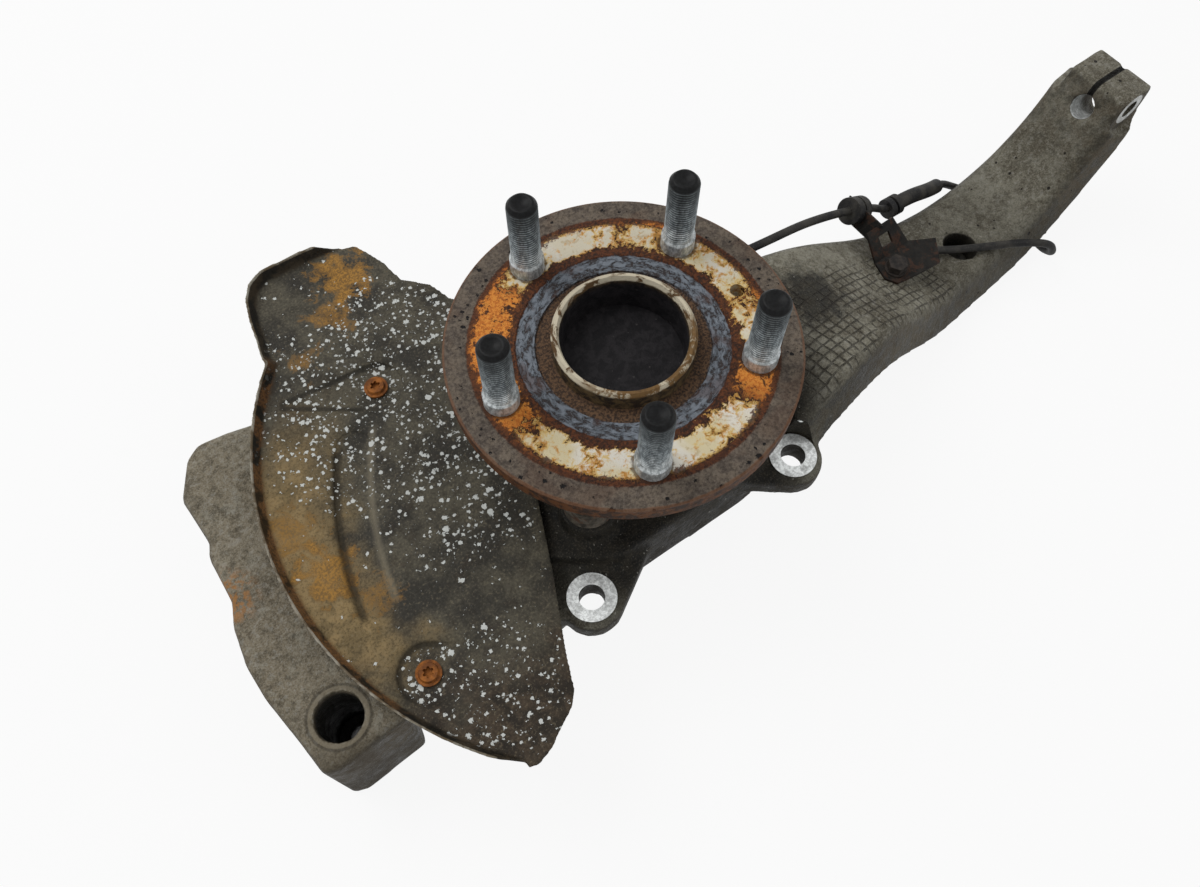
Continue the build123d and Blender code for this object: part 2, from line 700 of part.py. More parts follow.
with BuildPart() as shield:
    add(shield_face(SHIELD_Z))
    extrude(amount=SHEET_T)
    add(lip.part)
    add(pressings.part)
    # Faces of the pressings
    add(channel_face(SHIELD_Z - SHIELD_PRESS + SHEET_T))
    extrude(amount=SHIELD_PRESS + 1, mode=Mode.SUBTRACT)
    for screw, tip in zip(SHIELD_SCREWS_AT, PRESS_TIPS):
        add(teardrop_face(screw, tip, SHEET_T))
        extrude(amount=SHIELD_PRESS + 1.5, mode=Mode.SUBTRACT)
    with BuildSketch(Plane.XY.offset(SHIELD_Z + 2)):
        with Locations(*SHIELD_SCREWS_AT):
            Circle(SHIELD_SCREW_D / 2 + 0.3)
    extrude(amount=-10, mode=Mode.SUBTRACT)
save(shield, "dust_shield")

# Screws of the shield, with a star socket
with BuildPart() as shield_screws:
    with BuildSketch(Plane.XY.offset(SHIELD_Z - SHIELD_PRESS + SHEET_T + 0.3)):
        with Locations(*SHIELD_SCREWS_AT):
            Circle(SHIELD_SCREW_D * 1.0)
    extrude(amount=1.1)
    with BuildSketch(Plane.XY.offset(SHIELD_Z - SHIELD_PRESS + SHEET_T + 1.4)):
        with Locations(*SHIELD_SCREWS_AT):
            Circle(SHIELD_SCREW_D * 0.8)
    extrude(amount=1.6, taper=20)
    with BuildSketch(Plane.XY.offset(SHIELD_Z - SHIELD_PRESS + SHEET_T + 0.3)):
        with Locations(*SHIELD_SCREWS_AT):
            Circle(SHIELD_SCREW_D / 2)
    extrude(amount=-14)
    with BuildSketch(Plane.XY.offset(SHIELD_Z - SHIELD_PRESS + SHEET_T + 3)):
        with Locations(*SHIELD_SCREWS_AT):
            Circle(1.9)
            with PolarLocations(2.0, 6):
                Circle(0.65)
    extrude(amount=-2.2, mode=Mode.SUBTRACT)
save(shield_screws, "shield_screws")

# Wheel-speed sensor: a probe through the carrier and the ring, with a bolted ear
with BuildPart() as sensor:
    with BuildSketch(SENSOR_PLANE):
        Circle(SENSOR_D / 2)
    extrude(amount=SENSOR_TIP_GAP - SENSOR_HOLE_DEPTH)
    with BuildSketch(SENSOR_PLANE):
        with Locations((7, 0)):
            SlotOverall(32, 15)
    extrude(amount=5)
    with BuildSketch(SENSOR_PLANE.offset(5)):
        with Locations((0, -2)):
            RectangleRounded(14, 18, 3)
    extrude(amount=10)
    with BuildSketch(SENSOR_PLANE):
        with Locations((SENSOR_BOLT_OUT, 0)):
            Circle(SENSOR_BOLT_D / 2 + 0.2)
    extrude(amount=5, mode=Mode.SUBTRACT)
save(sensor, "wheel_speed_sensor")

with BuildPart() as sensor_bolt:
    with BuildSketch(SENSOR_PLANE.offset(5)):
        with Locations((SENSOR_BOLT_OUT, 0)):
            RegularPolygon(SENSOR_BOLT_D * 0.83, 6, major_radius=False)
    extrude(amount=5)
    with BuildSketch(SENSOR_PLANE.offset(5)):
        with Locations((SENSOR_BOLT_OUT, 0)):
            Circle(SENSOR_BOLT_D / 2)
    extrude(amount=-16)
save(sensor_bolt, "sensor_bolt")

# Lead from the sensor: up the neck, through its grommet, round behind it and back over the front
LEAD_EXIT = SENSOR_PLANE.from_local_coords((0, -11, 10))
LEAD_RUN = [
    tuple(LEAD_EXIT),
    (68.0, 52.3, -66.0),
    (96.0, 39.5, -61.5),
    (122.0, 32.5, -56.0),
    (148.0, 31.0, -59.0),
    (174.0, 30.0, -68.0),
    (207.0, 30.0, -86.0),
    (227.0, 31.0, -103.5),
    (247.0, 30.5, -105.0),
    (268.0, 30.0, -112.5),
    (285.0, 33.5, -121.5),
    (300.0, 31.6, -133.6),
    (314.0, 14.0, -137.0),
    (317.0, -11.0, -137.0),
    (309.0, -36.0, -134.0),
    (300.0, -47.0, -120.5),
    (292.0, -45.0, -107.0),
    (277.0, -35.0, -105.0),
    (259.0, -23.0, -107.8),
    (242.0, -14.0, -107.0),
    (226.0, -7.0, -102.6),
    (212.0, 0.0, -98.8),
]


def lead_radii(points):
    """Largest tangent arc at each corner that its two runs leave room for."""
    radii = []
    for before, here, after in zip(points, points[1:], points[2:]):
        run_in = Vector(*here) - Vector(*before)
        run_out = Vector(*after) - Vector(*here)
        turn = run_in.get_angle(run_out)
        radii.append(0.45 * min(run_in.length, run_out.length) / tan(radians(turn / 2)))
    return radii


def tube(points, radii, outer, inner=0.0):
    """Tube swept along straight runs joined by tangent arcs."""
    start = Vector(*points[0])
    with BuildPart() as swept:
        with BuildLine() as route:
            FilletPolyline(*points, radius=radii)
        with BuildSketch(Plane(origin=start, z_dir=Vector(*points[1]) - start)):
            Circle(outer)
            if inner:
                Circle(inner, mode=Mode.SUBTRACT)
        sweep(path=route.wires()[0])
    length = route.wires()[0].length
    section = 3.14159265 * (outer**2 - inner**2)
    print("tube length", round(length, 1), "volume ratio", round(swept.part.volume / (length * section), 4))
    return swept.part


radii = lead_radii(LEAD_RUN)
print("lead radii", [round(r, 1) for r in radii])
with BuildPart() as lead:
    add(tube(LEAD_RUN, radii, LEAD_D / 2))
save(lead, "sensor_lead")

# Thick sleeve on the lead where it passes behind the neck
before_sleeve, first_bend, second_bend, after_sleeve = LEAD_RUN[7:11]
sleeve_start = (Vector(*before_sleeve) + Vector(*first_bend)) * 0.5
sleeve_end = (Vector(*second_bend) + Vector(*after_sleeve)) * 0.5
sleeve_points = [tuple(sleeve_start), first_bend, second_bend, tuple(sleeve_end)]
with BuildPart() as sleeve:
    add(tube(sleeve_points, radii[7:9], SLEEVE_D / 2, LEAD_D / 2))
save(sleeve, "lead_sleeve")

# Rubber grommets on the lead, each with two collars and a neck between them
grommet_run = Vector(*LEAD_RUN[6]) - Vector(*LEAD_RUN[5])
grommet_mid = Vector(*LEAD_RUN[5]) + grommet_run * 0.55
second_run = Vector(*LEAD_RUN[8]) - Vector(*LEAD_RUN[7])
second_mid = Vector(*LEAD_RUN[7]) + second_run * 0.24
GROMMETS = [(grommet_mid, grommet_run, GROMMET_D, 5.5), (second_mid, second_run, GROMMET_D - 3, 3.8)]
with BuildPart() as grommets:
    for centre, direction, size, collar in GROMMETS:
        across = Plane(origin=centre, z_dir=direction)
        for start in (-BRACKET_T / 2 - collar, BRACKET_T / 2):
            with BuildSketch(across.offset(start)):
                Circle(size / 2)
            extrude(amount=collar)
        with BuildSketch(across.offset(-BRACKET_T / 2)):
            Circle(GROMMET_NECK_D / 2)
        extrude(amount=BRACKET_T)
    add(lead.part, mode=Mode.SUBTRACT)
save(grommets, "lead_grommets")

# Folded bracket: base plate, leaning tab with a window, and the strip in the grommet's groove
TAB_RISE = 12.0
TAB_LEAN = 13.5
TAB_Y = -0.5
with BuildPart() as bracket:
    with BuildSketch(Plane.XY.offset(BRACKET_Z)):
        with BuildLine():
            Polyline(
                (182, TAB_Y), (208, TAB_Y), (222.5, -8.5), (212.5, -22), (196, -20.5), (183, -18.5), (179, -12),
                close=True,
            )
        make_face()
    extrude(amount=BRACKET_T)
    tab_plane = Plane(origin=(195, TAB_Y, BRACKET_Z), x_dir=(1, 0, 0), z_dir=(0, -TAB_RISE, TAB_LEAN))
    tab_len = hypot(TAB_RISE, TAB_LEAN)
    with BuildSketch(tab_plane):
        with BuildLine():
            Polyline((-13, 0), (13, 0), (9, tab_len), (-11, tab_len), close=True)
        make_face()
        with Locations((-1, tab_len * 0.52)):
            Rectangle(8, 7, mode=Mode.SUBTRACT)
    extrude(amount=BRACKET_T)
    strip_x = grommet_mid.X
    with BuildSketch(Plane(origin=grommet_mid, z_dir=grommet_run, x_dir=(0, 1, 0))) as strip:
        with Locations((-6.0, -1.5)):
            Rectangle(27, 12)
        Circle(GROMMET_NECK_D / 2, mode=Mode.SUBTRACT)
        with Locations((6, 0)):
            Rectangle(12, LEAD_D + 3.5, mode=Mode.SUBTRACT)
    extrude(amount=BRACKET_T / 2, both=True)
    with BuildSketch(Plane.XY.offset(BRACKET_Z - 1)):
        with Locations(BRACKET_BOLT_AT):
            Circle(BRACKET_BOLT_D / 2 + 0.3)
    extrude(amount=4, mode=Mode.SUBTRACT)
save(bracket, "cable_bracket")

with BuildPart() as bracket_bolt:
    with BuildSketch(Plane.XY.offset(BRACKET_Z + BRACKET_T)):
        with Locations(BRACKET_BOLT_AT):
            Circle(BRACKET_BOLT_D * 1.05)
    extrude(amount=1.2)
    with BuildSketch(Plane.XY.offset(BRACKET_Z + BRACKET_T)):
        with Locations(BRACKET_BOLT_AT):
            RegularPolygon(BRACKET_BOLT_D * 0.83, 6, major_radius=False)
    extrude(amount=6)
    with BuildSketch(Plane.XY.offset(BRACKET_Z + BRACKET_T)):
        with Locations(BRACKET_BOLT_AT):
            Circle(BRACKET_BOLT_D / 2)
    extrude(amount=-14)
save(bracket_bolt, "bracket_bolt")
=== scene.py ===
"""Used steering knuckle lying hub up: dusty sand-cast body, rusty hub face, speckled shield.

Lengths are in millimetres of the row frame until they reach Blender, which takes metres.
"""

from math import cos, pi, radians, sin, tan

import bpy
import numpy as np
from mathutils import Matrix, Vector


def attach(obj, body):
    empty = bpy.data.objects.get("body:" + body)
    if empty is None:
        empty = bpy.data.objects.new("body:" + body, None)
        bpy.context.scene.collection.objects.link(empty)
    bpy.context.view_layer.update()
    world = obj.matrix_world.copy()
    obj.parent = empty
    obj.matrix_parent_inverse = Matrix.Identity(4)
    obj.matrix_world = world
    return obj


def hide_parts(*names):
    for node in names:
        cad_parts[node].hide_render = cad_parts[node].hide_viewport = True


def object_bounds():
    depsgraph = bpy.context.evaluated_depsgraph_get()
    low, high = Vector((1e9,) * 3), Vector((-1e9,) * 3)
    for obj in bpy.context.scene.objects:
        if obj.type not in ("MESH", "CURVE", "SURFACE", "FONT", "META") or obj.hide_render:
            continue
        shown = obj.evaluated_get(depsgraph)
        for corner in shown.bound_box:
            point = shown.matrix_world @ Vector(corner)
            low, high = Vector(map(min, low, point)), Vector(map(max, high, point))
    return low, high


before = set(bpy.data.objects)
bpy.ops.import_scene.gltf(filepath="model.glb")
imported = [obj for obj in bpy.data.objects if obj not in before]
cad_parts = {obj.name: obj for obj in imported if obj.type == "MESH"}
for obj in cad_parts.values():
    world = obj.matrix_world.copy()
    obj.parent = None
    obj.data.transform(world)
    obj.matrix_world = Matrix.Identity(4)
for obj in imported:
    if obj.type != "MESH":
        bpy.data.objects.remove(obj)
cad_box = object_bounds()

MM = 0.001

# Camera of the photograph
CAMERA_AT = (-148.9, -178.7, 371.3)
CAMERA_LOOKS_AT = (-19.95, -9.81, -60.0)
CAMERA_ROLL = 0.77
CAMERA_LENS = 29.66

# Sizes that the dressed pieces share with the model
STUD_COUNT = 5
STUD_PITCH_R = 60.0
FIRST_STUD_ANGLE = 28.2
STUD_D = 14.0
STUD_SHOULDER_D = 15.8
STUD_SHOULDER_H = 7.0
STUD_REACH = 44.5
THREAD_PITCH = 1.5
THREAD_DEPTH = 0.55
LUGS = [(-66.1, -65.6), (58.9, -66.4)]
LUG_FACE_Z = -76.0
LUG_BACK_Z = -90.0
LUG_HOLE_R = 6.25
LUG_PAD_R = 12.0
BAR_BORE = (-188.7, -43.7)
BAR_BORE_R = 11.0
BAR_FACE_Z = -73.4
NECK_HOLE = (250.0, -12.5)
NECK_HOLE_R = 10.0
NECK_OIL = (120.0, -8.0)
CLAMP_MOUTH = (335.5, -2.5, -57.5)
CLAMP_TILT = 20.0
CLAMP_BORE_R = 6.5
SLIT_W = 3.2
SLIT_Y = -1.5
PINCH = (351.0, -22.0, -52.5)
PINCH_R = 5.25
PINCH_PAD_R = 9.8
CAST_VOXEL = 1.6
SHEET_VOXEL = 1.0
SHIELD_Z = -66.0
RIM_FOOT_Z = -64.8
RIM_TOP_Z = -58.0
RIM_ENDS = [((-61.0, 171.0), (-82.2, 173.6), 1), ((-133.0, -110.5), (-139.4, -102.8), -1)]
RIM_CORNER = (-125.5, 128.0)
RIM_TIP = (-60.0, 171.0)
PRESSINGS = [
    [(-116.8, 63.4), (-128.5, 46.3), (-136.5, 28.0), (-144.2, 7.8), (-149.0, -13.0)],
    [(-90.4, 85.7), (-132.4, 102.5)],
    [(-146.6, -53.1), (-100.1, -76.6)],
]
FLANGE_SKIN = 9.0


def polar(radius, angle):
    return (radius * cos(radians(angle)), radius * sin(radians(angle)))


def rgb(r, g, b):
    """Linear colour of a screen colour."""
    return tuple((c / 255 + 0.055) ** 2.4 / 1.055 ** 2.4 for c in (r, g, b)) + (1.0,)


class Shade:
    """A node material written as short calls. Positions are in millimetres of the row frame."""

    def __init__(self, name, roughness=0.7, metallic=0.0, specular=0.15):
        self.mat = bpy.data.materials.new(name)
        self.mat.use_nodes = True
        self.bsdf = self.mat.node_tree.nodes["Principled BSDF"]
        self.bsdf.inputs["Roughness"].default_value = roughness
        self.bsdf.inputs["Metallic"].default_value = metallic
        self.bsdf.inputs["Specular IOR Level"].default_value = specular
        coord = self.add("ShaderNodeTexCoord")
        self.p = self.vector("SCALE", coord.outputs["Object"], scale=1000.0)
        split = self.add("ShaderNodeSeparateXYZ")
        self.put(split.inputs[0], self.p)
        self.x, self.y, self.z = split.outputs
        facing = self.add("ShaderNodeSeparateXYZ")
        self.put(facing.inputs[0], coord.outputs["Normal"])
        self.up = facing.outputs["Z"]

    def add(self, kind, **settings):
        node = self.mat.node_tree.nodes.new(kind)
        for key, value in settings.items():
            setattr(node, key, value)
        return node

    def put(self, socket, value):
        if isinstance(value, bpy.types.NodeSocket):
            self.mat.node_tree.links.new(value, socket)
        else:
            socket.default_value = value

    def vector(self, operation, a, b=None, scale=None):
        node = self.add("ShaderNodeVectorMath", operation=operation)
        self.put(node.inputs[0], a)
        if b is not None:
            self.put(node.inputs[1], b)
        if scale is not None:
            self.put(node.inputs["Scale"], scale)
        return node.outputs["Value" if operation in ("LENGTH", "DISTANCE", "DOT_PRODUCT") else "Vector"]

    def math(self, operation, a, b=0.0):
        node = self.add("ShaderNodeMath", operation=operation)
        self.put(node.inputs[0], a)
        self.put(node.inputs[1], b)
        return node.outputs[0]

    def plus(self, a, b):
        return self.math("ADD", a, b)

    def times(self, a, b):
        return self.math("MULTIPLY", a, b)

    def either(self, a, b):
        return self.math("MAXIMUM", a, b)

    def fade(self, value, start, end):
        """0 at start, 1 at end, smooth between; end may be the lower one."""
        node = self.add("ShaderNodeMapRange", interpolation_type="SMOOTHSTEP")
        falling = start > end
        self.put(node.inputs["Value"], value)
        self.put(node.inputs["From Min"], min(start, end))
        self.put(node.inputs["From Max"], max(start, end))
        self.put(node.inputs["To Min"], 1.0 if falling else 0.0)
        self.put(node.inputs["To Max"], 0.0 if falling else 1.0)
        return node.outputs["Result"]

    def between(self, value, low, high, soft):
        """1 between two values, fading over soft at each end."""
        rise = self.fade(value, low - soft, low + soft)
        return self.times(rise, self.fade(value, high + soft, high - soft))

    def mix(self, factor, a, b):
        node = self.add("ShaderNodeMix", data_type="RGBA")
        self.put(node.inputs[0], factor)
        self.put(node.inputs[6], a)
        self.put(node.inputs[7], b)
        return node.outputs[2]

    def shift(self, seed):
        return self.vector("ADD", self.p, (17.3 * seed, -9.1 * seed, 5.7 * seed)) if seed else self.p

    def noise(self, size, detail=3.0, rough=0.55, warp=0.0, seed=0, stretch=None, where=None):
        """Cloudy value from 0 to 1 whose patches are about size across."""
        node = self.add("ShaderNodeTexNoise")
        if where is None:
            where = self.shift(seed)
        if stretch:
            where = self.vector("MULTIPLY", where, stretch)
        self.put(node.inputs["Vector"], where)
        self.put(node.inputs["Scale"], 1.0 / size)
        self.put(node.inputs["Detail"], detail)
        self.put(node.inputs["Roughness"], rough)
        self.put(node.inputs["Distortion"], warp)
        return node.outputs["Fac"]

    def spots(self, size, radius, share, seed=0, edge=0.4, ragged=0.0):
        """Dots in a part of the cells: size is the spacing, radius the dots' mean radius."""
        node = self.add("ShaderNodeTexVoronoi")
        where = self.shift(seed)
        if ragged:
            fray = self.add("ShaderNodeTexNoise")
            self.put(fray.inputs["Vector"], self.p)
            self.put(fray.inputs["Scale"], 1.0 / ragged)
            off = self.vector("SUBTRACT", fray.outputs["Color"], (0.5, 0.5, 0.5))
            where = self.vector("ADD", where, self.vector("SCALE", off, scale=2.2 * ragged))
        self.put(node.inputs["Vector"], where)
        self.put(node.inputs["Scale"], 1.0 / size)
        split = self.add("ShaderNodeSeparateColor")
        self.put(split.inputs[0], node.outputs["Color"])
        grown = self.plus(self.times(split.outputs[1], radius / size), radius / size * 0.5)
        inside = self.math("SUBTRACT", grown, node.outputs["Distance"])
        dots = self.fade(inside, 0.0, radius / size * edge)
        return self.times(dots, self.math("LESS_THAN", split.outputs[0], share))

    def away(self, centre, flat="z"):
        """Distance from an axis through centre, along z or y."""
        keep = {"z": (1, 1, 0), "y": (1, 0, 1)}[flat]
        there = tuple(c * k for c, k in zip(centre, keep))
        return self.vector("DISTANCE", self.vector("MULTIPLY", self.p, keep), there)

    def finish(self, colour, roughness=None, metallic=None, bumps=()):
        self.put(self.bsdf.inputs["Base Color"], colour)
        if roughness is not None:
            self.put(self.bsdf.inputs["Roughness"], roughness)
        if metallic is not None:
            self.put(self.bsdf.inputs["Metallic"], metallic)
        normal = None
        for height, depth in bumps:
            bump = self.add("ShaderNodeBump")
            self.put(bump.inputs["Height"], height)
            self.put(bump.inputs["Distance"], depth * MM)
            if normal is not None:
                self.put(bump.inputs["Normal"], normal)
            normal = bump.outputs["Normal"]
        if normal is not None:
            self.put(self.bsdf.inputs["Normal"], normal)
        return self.mat


def wear(obj, material):
    """Gives an object one material."""
    obj.data.materials.clear()
    obj.data.materials.append(material)


def new_piece(name, mesh, body, node):
    """Dressed piece that stands for a node of the model."""
    piece = bpy.data.objects.new(name, mesh)
    bpy.context.scene.collection.objects.link(piece)
    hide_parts(node)
    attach(piece, body)
    return piece


def smooth_faces(mesh, angle):
    """Smooth shading, with hard edges above an angle in degrees."""
    mesh.shade_smooth()
    mesh.set_sharp_from_angle(angle=radians(angle))


def mesh_from(name, verts, faces):
    mesh = bpy.data.meshes.new(name)
    mesh.from_pydata([tuple(c * MM for c in v) for v in verts], [], faces)
    mesh.update()
    return mesh


def cylinder_mesh(radius, start, end, sides=64):
    """Closed cylinder from start to end, for cutting."""
    start, end = Vector(start), Vector(end)
    axis = (end - start).normalized()
    side = axis.orthogonal().normalized()
    across = axis.cross(side)
    turn = [side * cos(2 * pi * i / sides) + across * sin(2 * pi * i / sides) for i in range(sides)]
    verts = [start + d * radius for d in turn] + [end + d * radius for d in turn]
    faces = [(i, (i + 1) % sides, sides + (i + 1) % sides, sides + i) for i in range(sides)]
    faces += [tuple(range(sides))[::-1], tuple(range(sides, 2 * sides))]
    return verts, faces


# Materials


def cast_material():
    """Sand-cast aluminium, dusty on the neck and bar, dark and greasy round the bearing, painted shade on
    steep and low faces and in the bores, bright where machined.
    """
    s = Shade("cast_aluminium", roughness=0.75)
    from_axis = s.away((0, 0, 0))
    clouds = s.noise(45, detail=4, seed=1)
    blotch = s.noise(7, detail=4, rough=0.65, seed=2)
    grain = s.noise(0.9, detail=3, rough=0.7, seed=3)
    dust = s.mix(s.fade(clouds, 0.35, 0.65), rgb(84, 80, 68), rgb(122, 119, 106))
    dust = s.mix(s.times(s.fade(s.x, -120, -165), 0.6), dust, rgb(124, 113, 94))
    dust = s.mix(s.times(s.fade(blotch, 0.5, 0.6), 0.5), dust, rgb(64, 58, 47))
    film = s.fade(s.noise(16, detail=5, rough=0.62, seed=14), 0.5, 0.6)
    dust = s.mix(s.times(film, 0.3), dust, rgb(60, 55, 45))
    wiped = s.fade(s.noise(11, detail=4, rough=0.6, seed=15), 0.54, 0.64)
    dust = s.mix(s.times(wiped, 0.28), dust, rgb(142, 140, 128))
    dust = s.mix(s.times(s.fade(grain, 0.5, 0.6), 0.4), dust, rgb(136, 132, 120))
    dust = s.mix(s.times(s.fade(grain, 0.46, 0.38), 0.4), dust, rgb(50, 45, 38))
    mottle = s.noise(3.0, detail=4, rough=0.72, seed=16)
    dust = s.mix(s.times(s.fade(mottle, 0.53, 0.62), 0.42), dust, rgb(54, 50, 41))
    dust = s.mix(s.times(s.fade(mottle, 0.46, 0.38), 0.34), dust, rgb(146, 144, 136))
    # Faces that don't look up: less dust, and painted shade that darkens steep faces
    steep = s.fade(s.plus(s.up, s.times(s.math("SUBTRACT", blotch, 0.5), 0.5)), 0.75, 0.2)
    wall = s.mix(s.fade(blotch, 0.4, 0.6), rgb(38, 34, 26), rgb(78, 70, 58))
    dust = s.mix(s.times(steep, 0.75), dust, wall)
    # Darker round the bar's lower end, below the level of its face
    corner = s.fade(s.plus(s.away((-200, -72, 0)), s.times(clouds, 20)), 46, 18)
    dust = s.mix(s.times(s.times(corner, s.fade(s.z, -69, -74)), 0.6), dust, rgb(58, 51, 40))
    # Oil and brake dirt close to the bearing and on the neck; painted shade in the same dark colour low
    # down, and dirt with painted shade on steep faces near the bearing
    near_hub = s.fade(s.plus(from_axis, s.times(clouds, 60)), 158, 108)
    below = s.fade(s.z, -96, -118)
    smear = s.fade(s.plus(s.away(NECK_OIL + (0,)), s.times(s.math("SUBTRACT", blotch, 0.5), 34)), 26, 10)
    side_dirt_and_shade = s.times(s.times(steep, 0.75), s.fade(s.plus(from_axis, s.times(clouds, 60)), 210, 140))
    oil_and_shade = s.either(s.either(near_hub, s.times(smear, 0.92)), s.either(side_dirt_and_shade, s.times(below, 0.5)))
    oil_and_shade_colour = s.mix(s.fade(blotch, 0.35, 0.7), rgb(17, 16, 13), rgb(40, 37, 31))
    oil_and_shade_colour = s.mix(s.times(s.fade(grain, 0.54, 0.62), 0.4), oil_and_shade_colour, rgb(84, 79, 69))
    flakes = s.spots(2.6, 0.4, 0.3, seed=12, ragged=0.8)
    oil_and_shade_colour = s.mix(s.times(flakes, 0.5), oil_and_shade_colour, rgb(156, 154, 146))
    colour = s.mix(oil_and_shade, dust, oil_and_shade_colour)
    # Checkered grooves on the neck's face
    warp = s.times(s.math("SUBTRACT", s.noise(26, detail=2, seed=4), 0.5), 5.0)
    lines = None
    for along, across, pitch in ((s.x, 0.2, 5.6), (s.y, -0.1, 5.0)):
        other = s.y if along == s.x else s.x
        run = s.plus(s.plus(along, s.times(other, across)), warp)
        step = s.math("FRACT", s.times(run, 1 / pitch))
        ridge = s.times(s.math("ABSOLUTE", s.math("SUBTRACT", step, 0.5)), 2)
        line = s.fade(ridge, 0.72, 0.97)
        lines = line if lines is None else s.either(lines, line)
    low_side = s.fade(s.plus(s.y, s.times(clouds, 22)), 24, 6)
    patch = s.times(s.between(s.x, 82, 224, 8), low_side)
    top_patch = s.times(s.between(s.x, 80, 108, 6), s.fade(s.y, 2, 10))
    patch = s.times(s.either(patch, top_patch), s.fade(s.noise(14, detail=2, seed=5), 0.3, 0.5))
    grooves = s.times(s.times(lines, patch), s.fade(s.up, 0.4, 0.8))
    colour = s.mix(s.times(grooves, 0.62), colour, rgb(34, 30, 25))
    # Pores in the upper neck
    pores = s.times(s.spots(6, 0.9, 0.4, seed=6), s.fade(s.x, 205, 245))
    colour = s.mix(pores, colour, rgb(30, 27, 23))
    pale = s.times(s.spots(7, 0.5, 0.3, seed=13, ragged=1.0), s.fade(s.x, 200, 240))
    colour = s.mix(s.times(pale, 0.5), colour, rgb(150, 146, 136))
    # Rust run on the bar
    runs = s.noise(4, detail=4, rough=0.65, seed=8)
    stain = s.times(s.fade(s.away((-204, 34, 0)), 19, 7), s.fade(runs, 0.44, 0.58))
    colour = s.mix(s.times(stain, 0.85), colour, rgb(142, 100, 56))
    # Machined places
    bright = None
    for centre in LUGS:
        around = s.away(centre + (0,))
        top = s.fade(s.z, LUG_FACE_Z - 0.5, LUG_FACE_Z - 0.2)
        pad = s.times(s.fade(around, LUG_PAD_R + 0.4, LUG_PAD_R), top)
        bright = pad if bright is None else s.either(bright, pad)
    tilt = radians(CLAMP_TILT)
    axis = (cos(tilt), 0, -sin(tilt))
    off = s.vector("SUBTRACT", s.p, CLAMP_MOUTH)
    clamp_r = s.vector("LENGTH", s.vector("CROSS_PRODUCT", off, axis))
    clamp = s.times(s.fade(clamp_r, CLAMP_BORE_R + 0.5, CLAMP_BORE_R + 0.2), s.fade(s.x, 322, 326))
    clamp = s.times(clamp, s.fade(s.x, 352, 340))
    pinch_ring = s.times(s.fade(s.away(PINCH, "y"), 9.6, 9.0), s.fade(s.y, PINCH[1] + 0.4, PINCH[1] + 0.2))
    bright = s.either(bright, s.either(clamp, s.times(pinch_ring, 0.6)))
    scuffs = s.noise(1.4, detail=4, rough=0.7, seed=9)
    metal = s.mix(s.fade(scuffs, 0.4, 0.6), rgb(196, 198, 197), rgb(236, 239, 238))
    metal = s.mix(s.times(s.fade(blotch, 0.52, 0.64), 0.5), metal, rgb(150, 151, 149))
    colour = s.mix(bright, colour, metal)
    # Oil and painted shade: the inside of the clamp's slit coloured near black
    axis_z = s.plus(CLAMP_MOUTH[2] + CLAMP_MOUTH[0] * tan(tilt), s.times(s.x, -tan(tilt)))
    over = s.fade(s.math("SUBTRACT", s.z, axis_z), CLAMP_BORE_R * 0.8, CLAMP_BORE_R * 0.95)
    half = SLIT_W / 2 + 0.12
    slit_oil_and_shade = s.times(s.between(s.y, SLIT_Y - half, SLIT_Y + half, 0.12), s.times(over, s.fade(s.x, 330, 332)))
    colour = s.mix(s.times(slit_oil_and_shade, 0.95), colour, rgb(9, 9, 8))
    bar_ring = s.times(
        s.between(s.away(BAR_BORE + (0,)), BAR_BORE_R - 0.5, BAR_BORE_R + 2.7, 0.25),
        s.fade(s.z, BAR_FACE_Z - 0.6, BAR_FACE_Z - 0.2),
    )
    colour = s.mix(s.times(bar_ring, 0.7), colour, rgb(112, 104, 88))
    bar_line = s.between(s.away(BAR_BORE + (0,)), BAR_BORE_R + 2.7, BAR_BORE_R + 4.0, 0.4)
    bar_line = s.times(bar_line, s.fade(s.z, BAR_FACE_Z - 3, BAR_FACE_Z - 1))
    colour = s.mix(s.times(bar_line, 0.55), colour, rgb(46, 41, 33))
    # Painted shade: the bar's bore coloured near black inside, below its face
    bar_bore_shade = s.fade(s.away(BAR_BORE + (0,)), BAR_BORE_R + 0.8, BAR_BORE_R + 0.3)
    bar_bore_shade = s.times(bar_bore_shade, s.fade(s.z, BAR_FACE_Z - 1, BAR_FACE_Z - 6))
    colour = s.mix(s.times(bar_bore_shade, 0.9), colour, s.mix(blotch, rgb(14, 15, 15), rgb(34, 34, 32)))
    # Painted shade: the neck's hole coloured dark deep inside
    neck_hole_shade = s.fade(s.away(NECK_HOLE + (0,)), NECK_HOLE_R + 0.8, NECK_HOLE_R + 0.2)
    colour = s.mix(s.times(neck_hole_shade, s.times(s.fade(s.z, -92, -97), 0.85)), colour, rgb(20, 18, 15))
    roughness = s.plus(0.45, s.times(s.fade(blotch, 0.3, 0.7), 0.3))
    roughness = s.math("SUBTRACT", roughness, s.times(bright, 0.14))
    plain = s.math("SUBTRACT", 1.0, bright)
    return s.finish(
        colour,
        roughness=roughness,
        metallic=s.times(bright, 0.8),
        bumps=(
            (s.times(s.noise(2.6, detail=4, rough=0.6, seed=10), plain), 0.9),
            (s.times(grain, plain), 0.35),
            (s.math("SUBTRACT", 1.0, s.either(grooves, pores)), 0.9),
        ),
    )


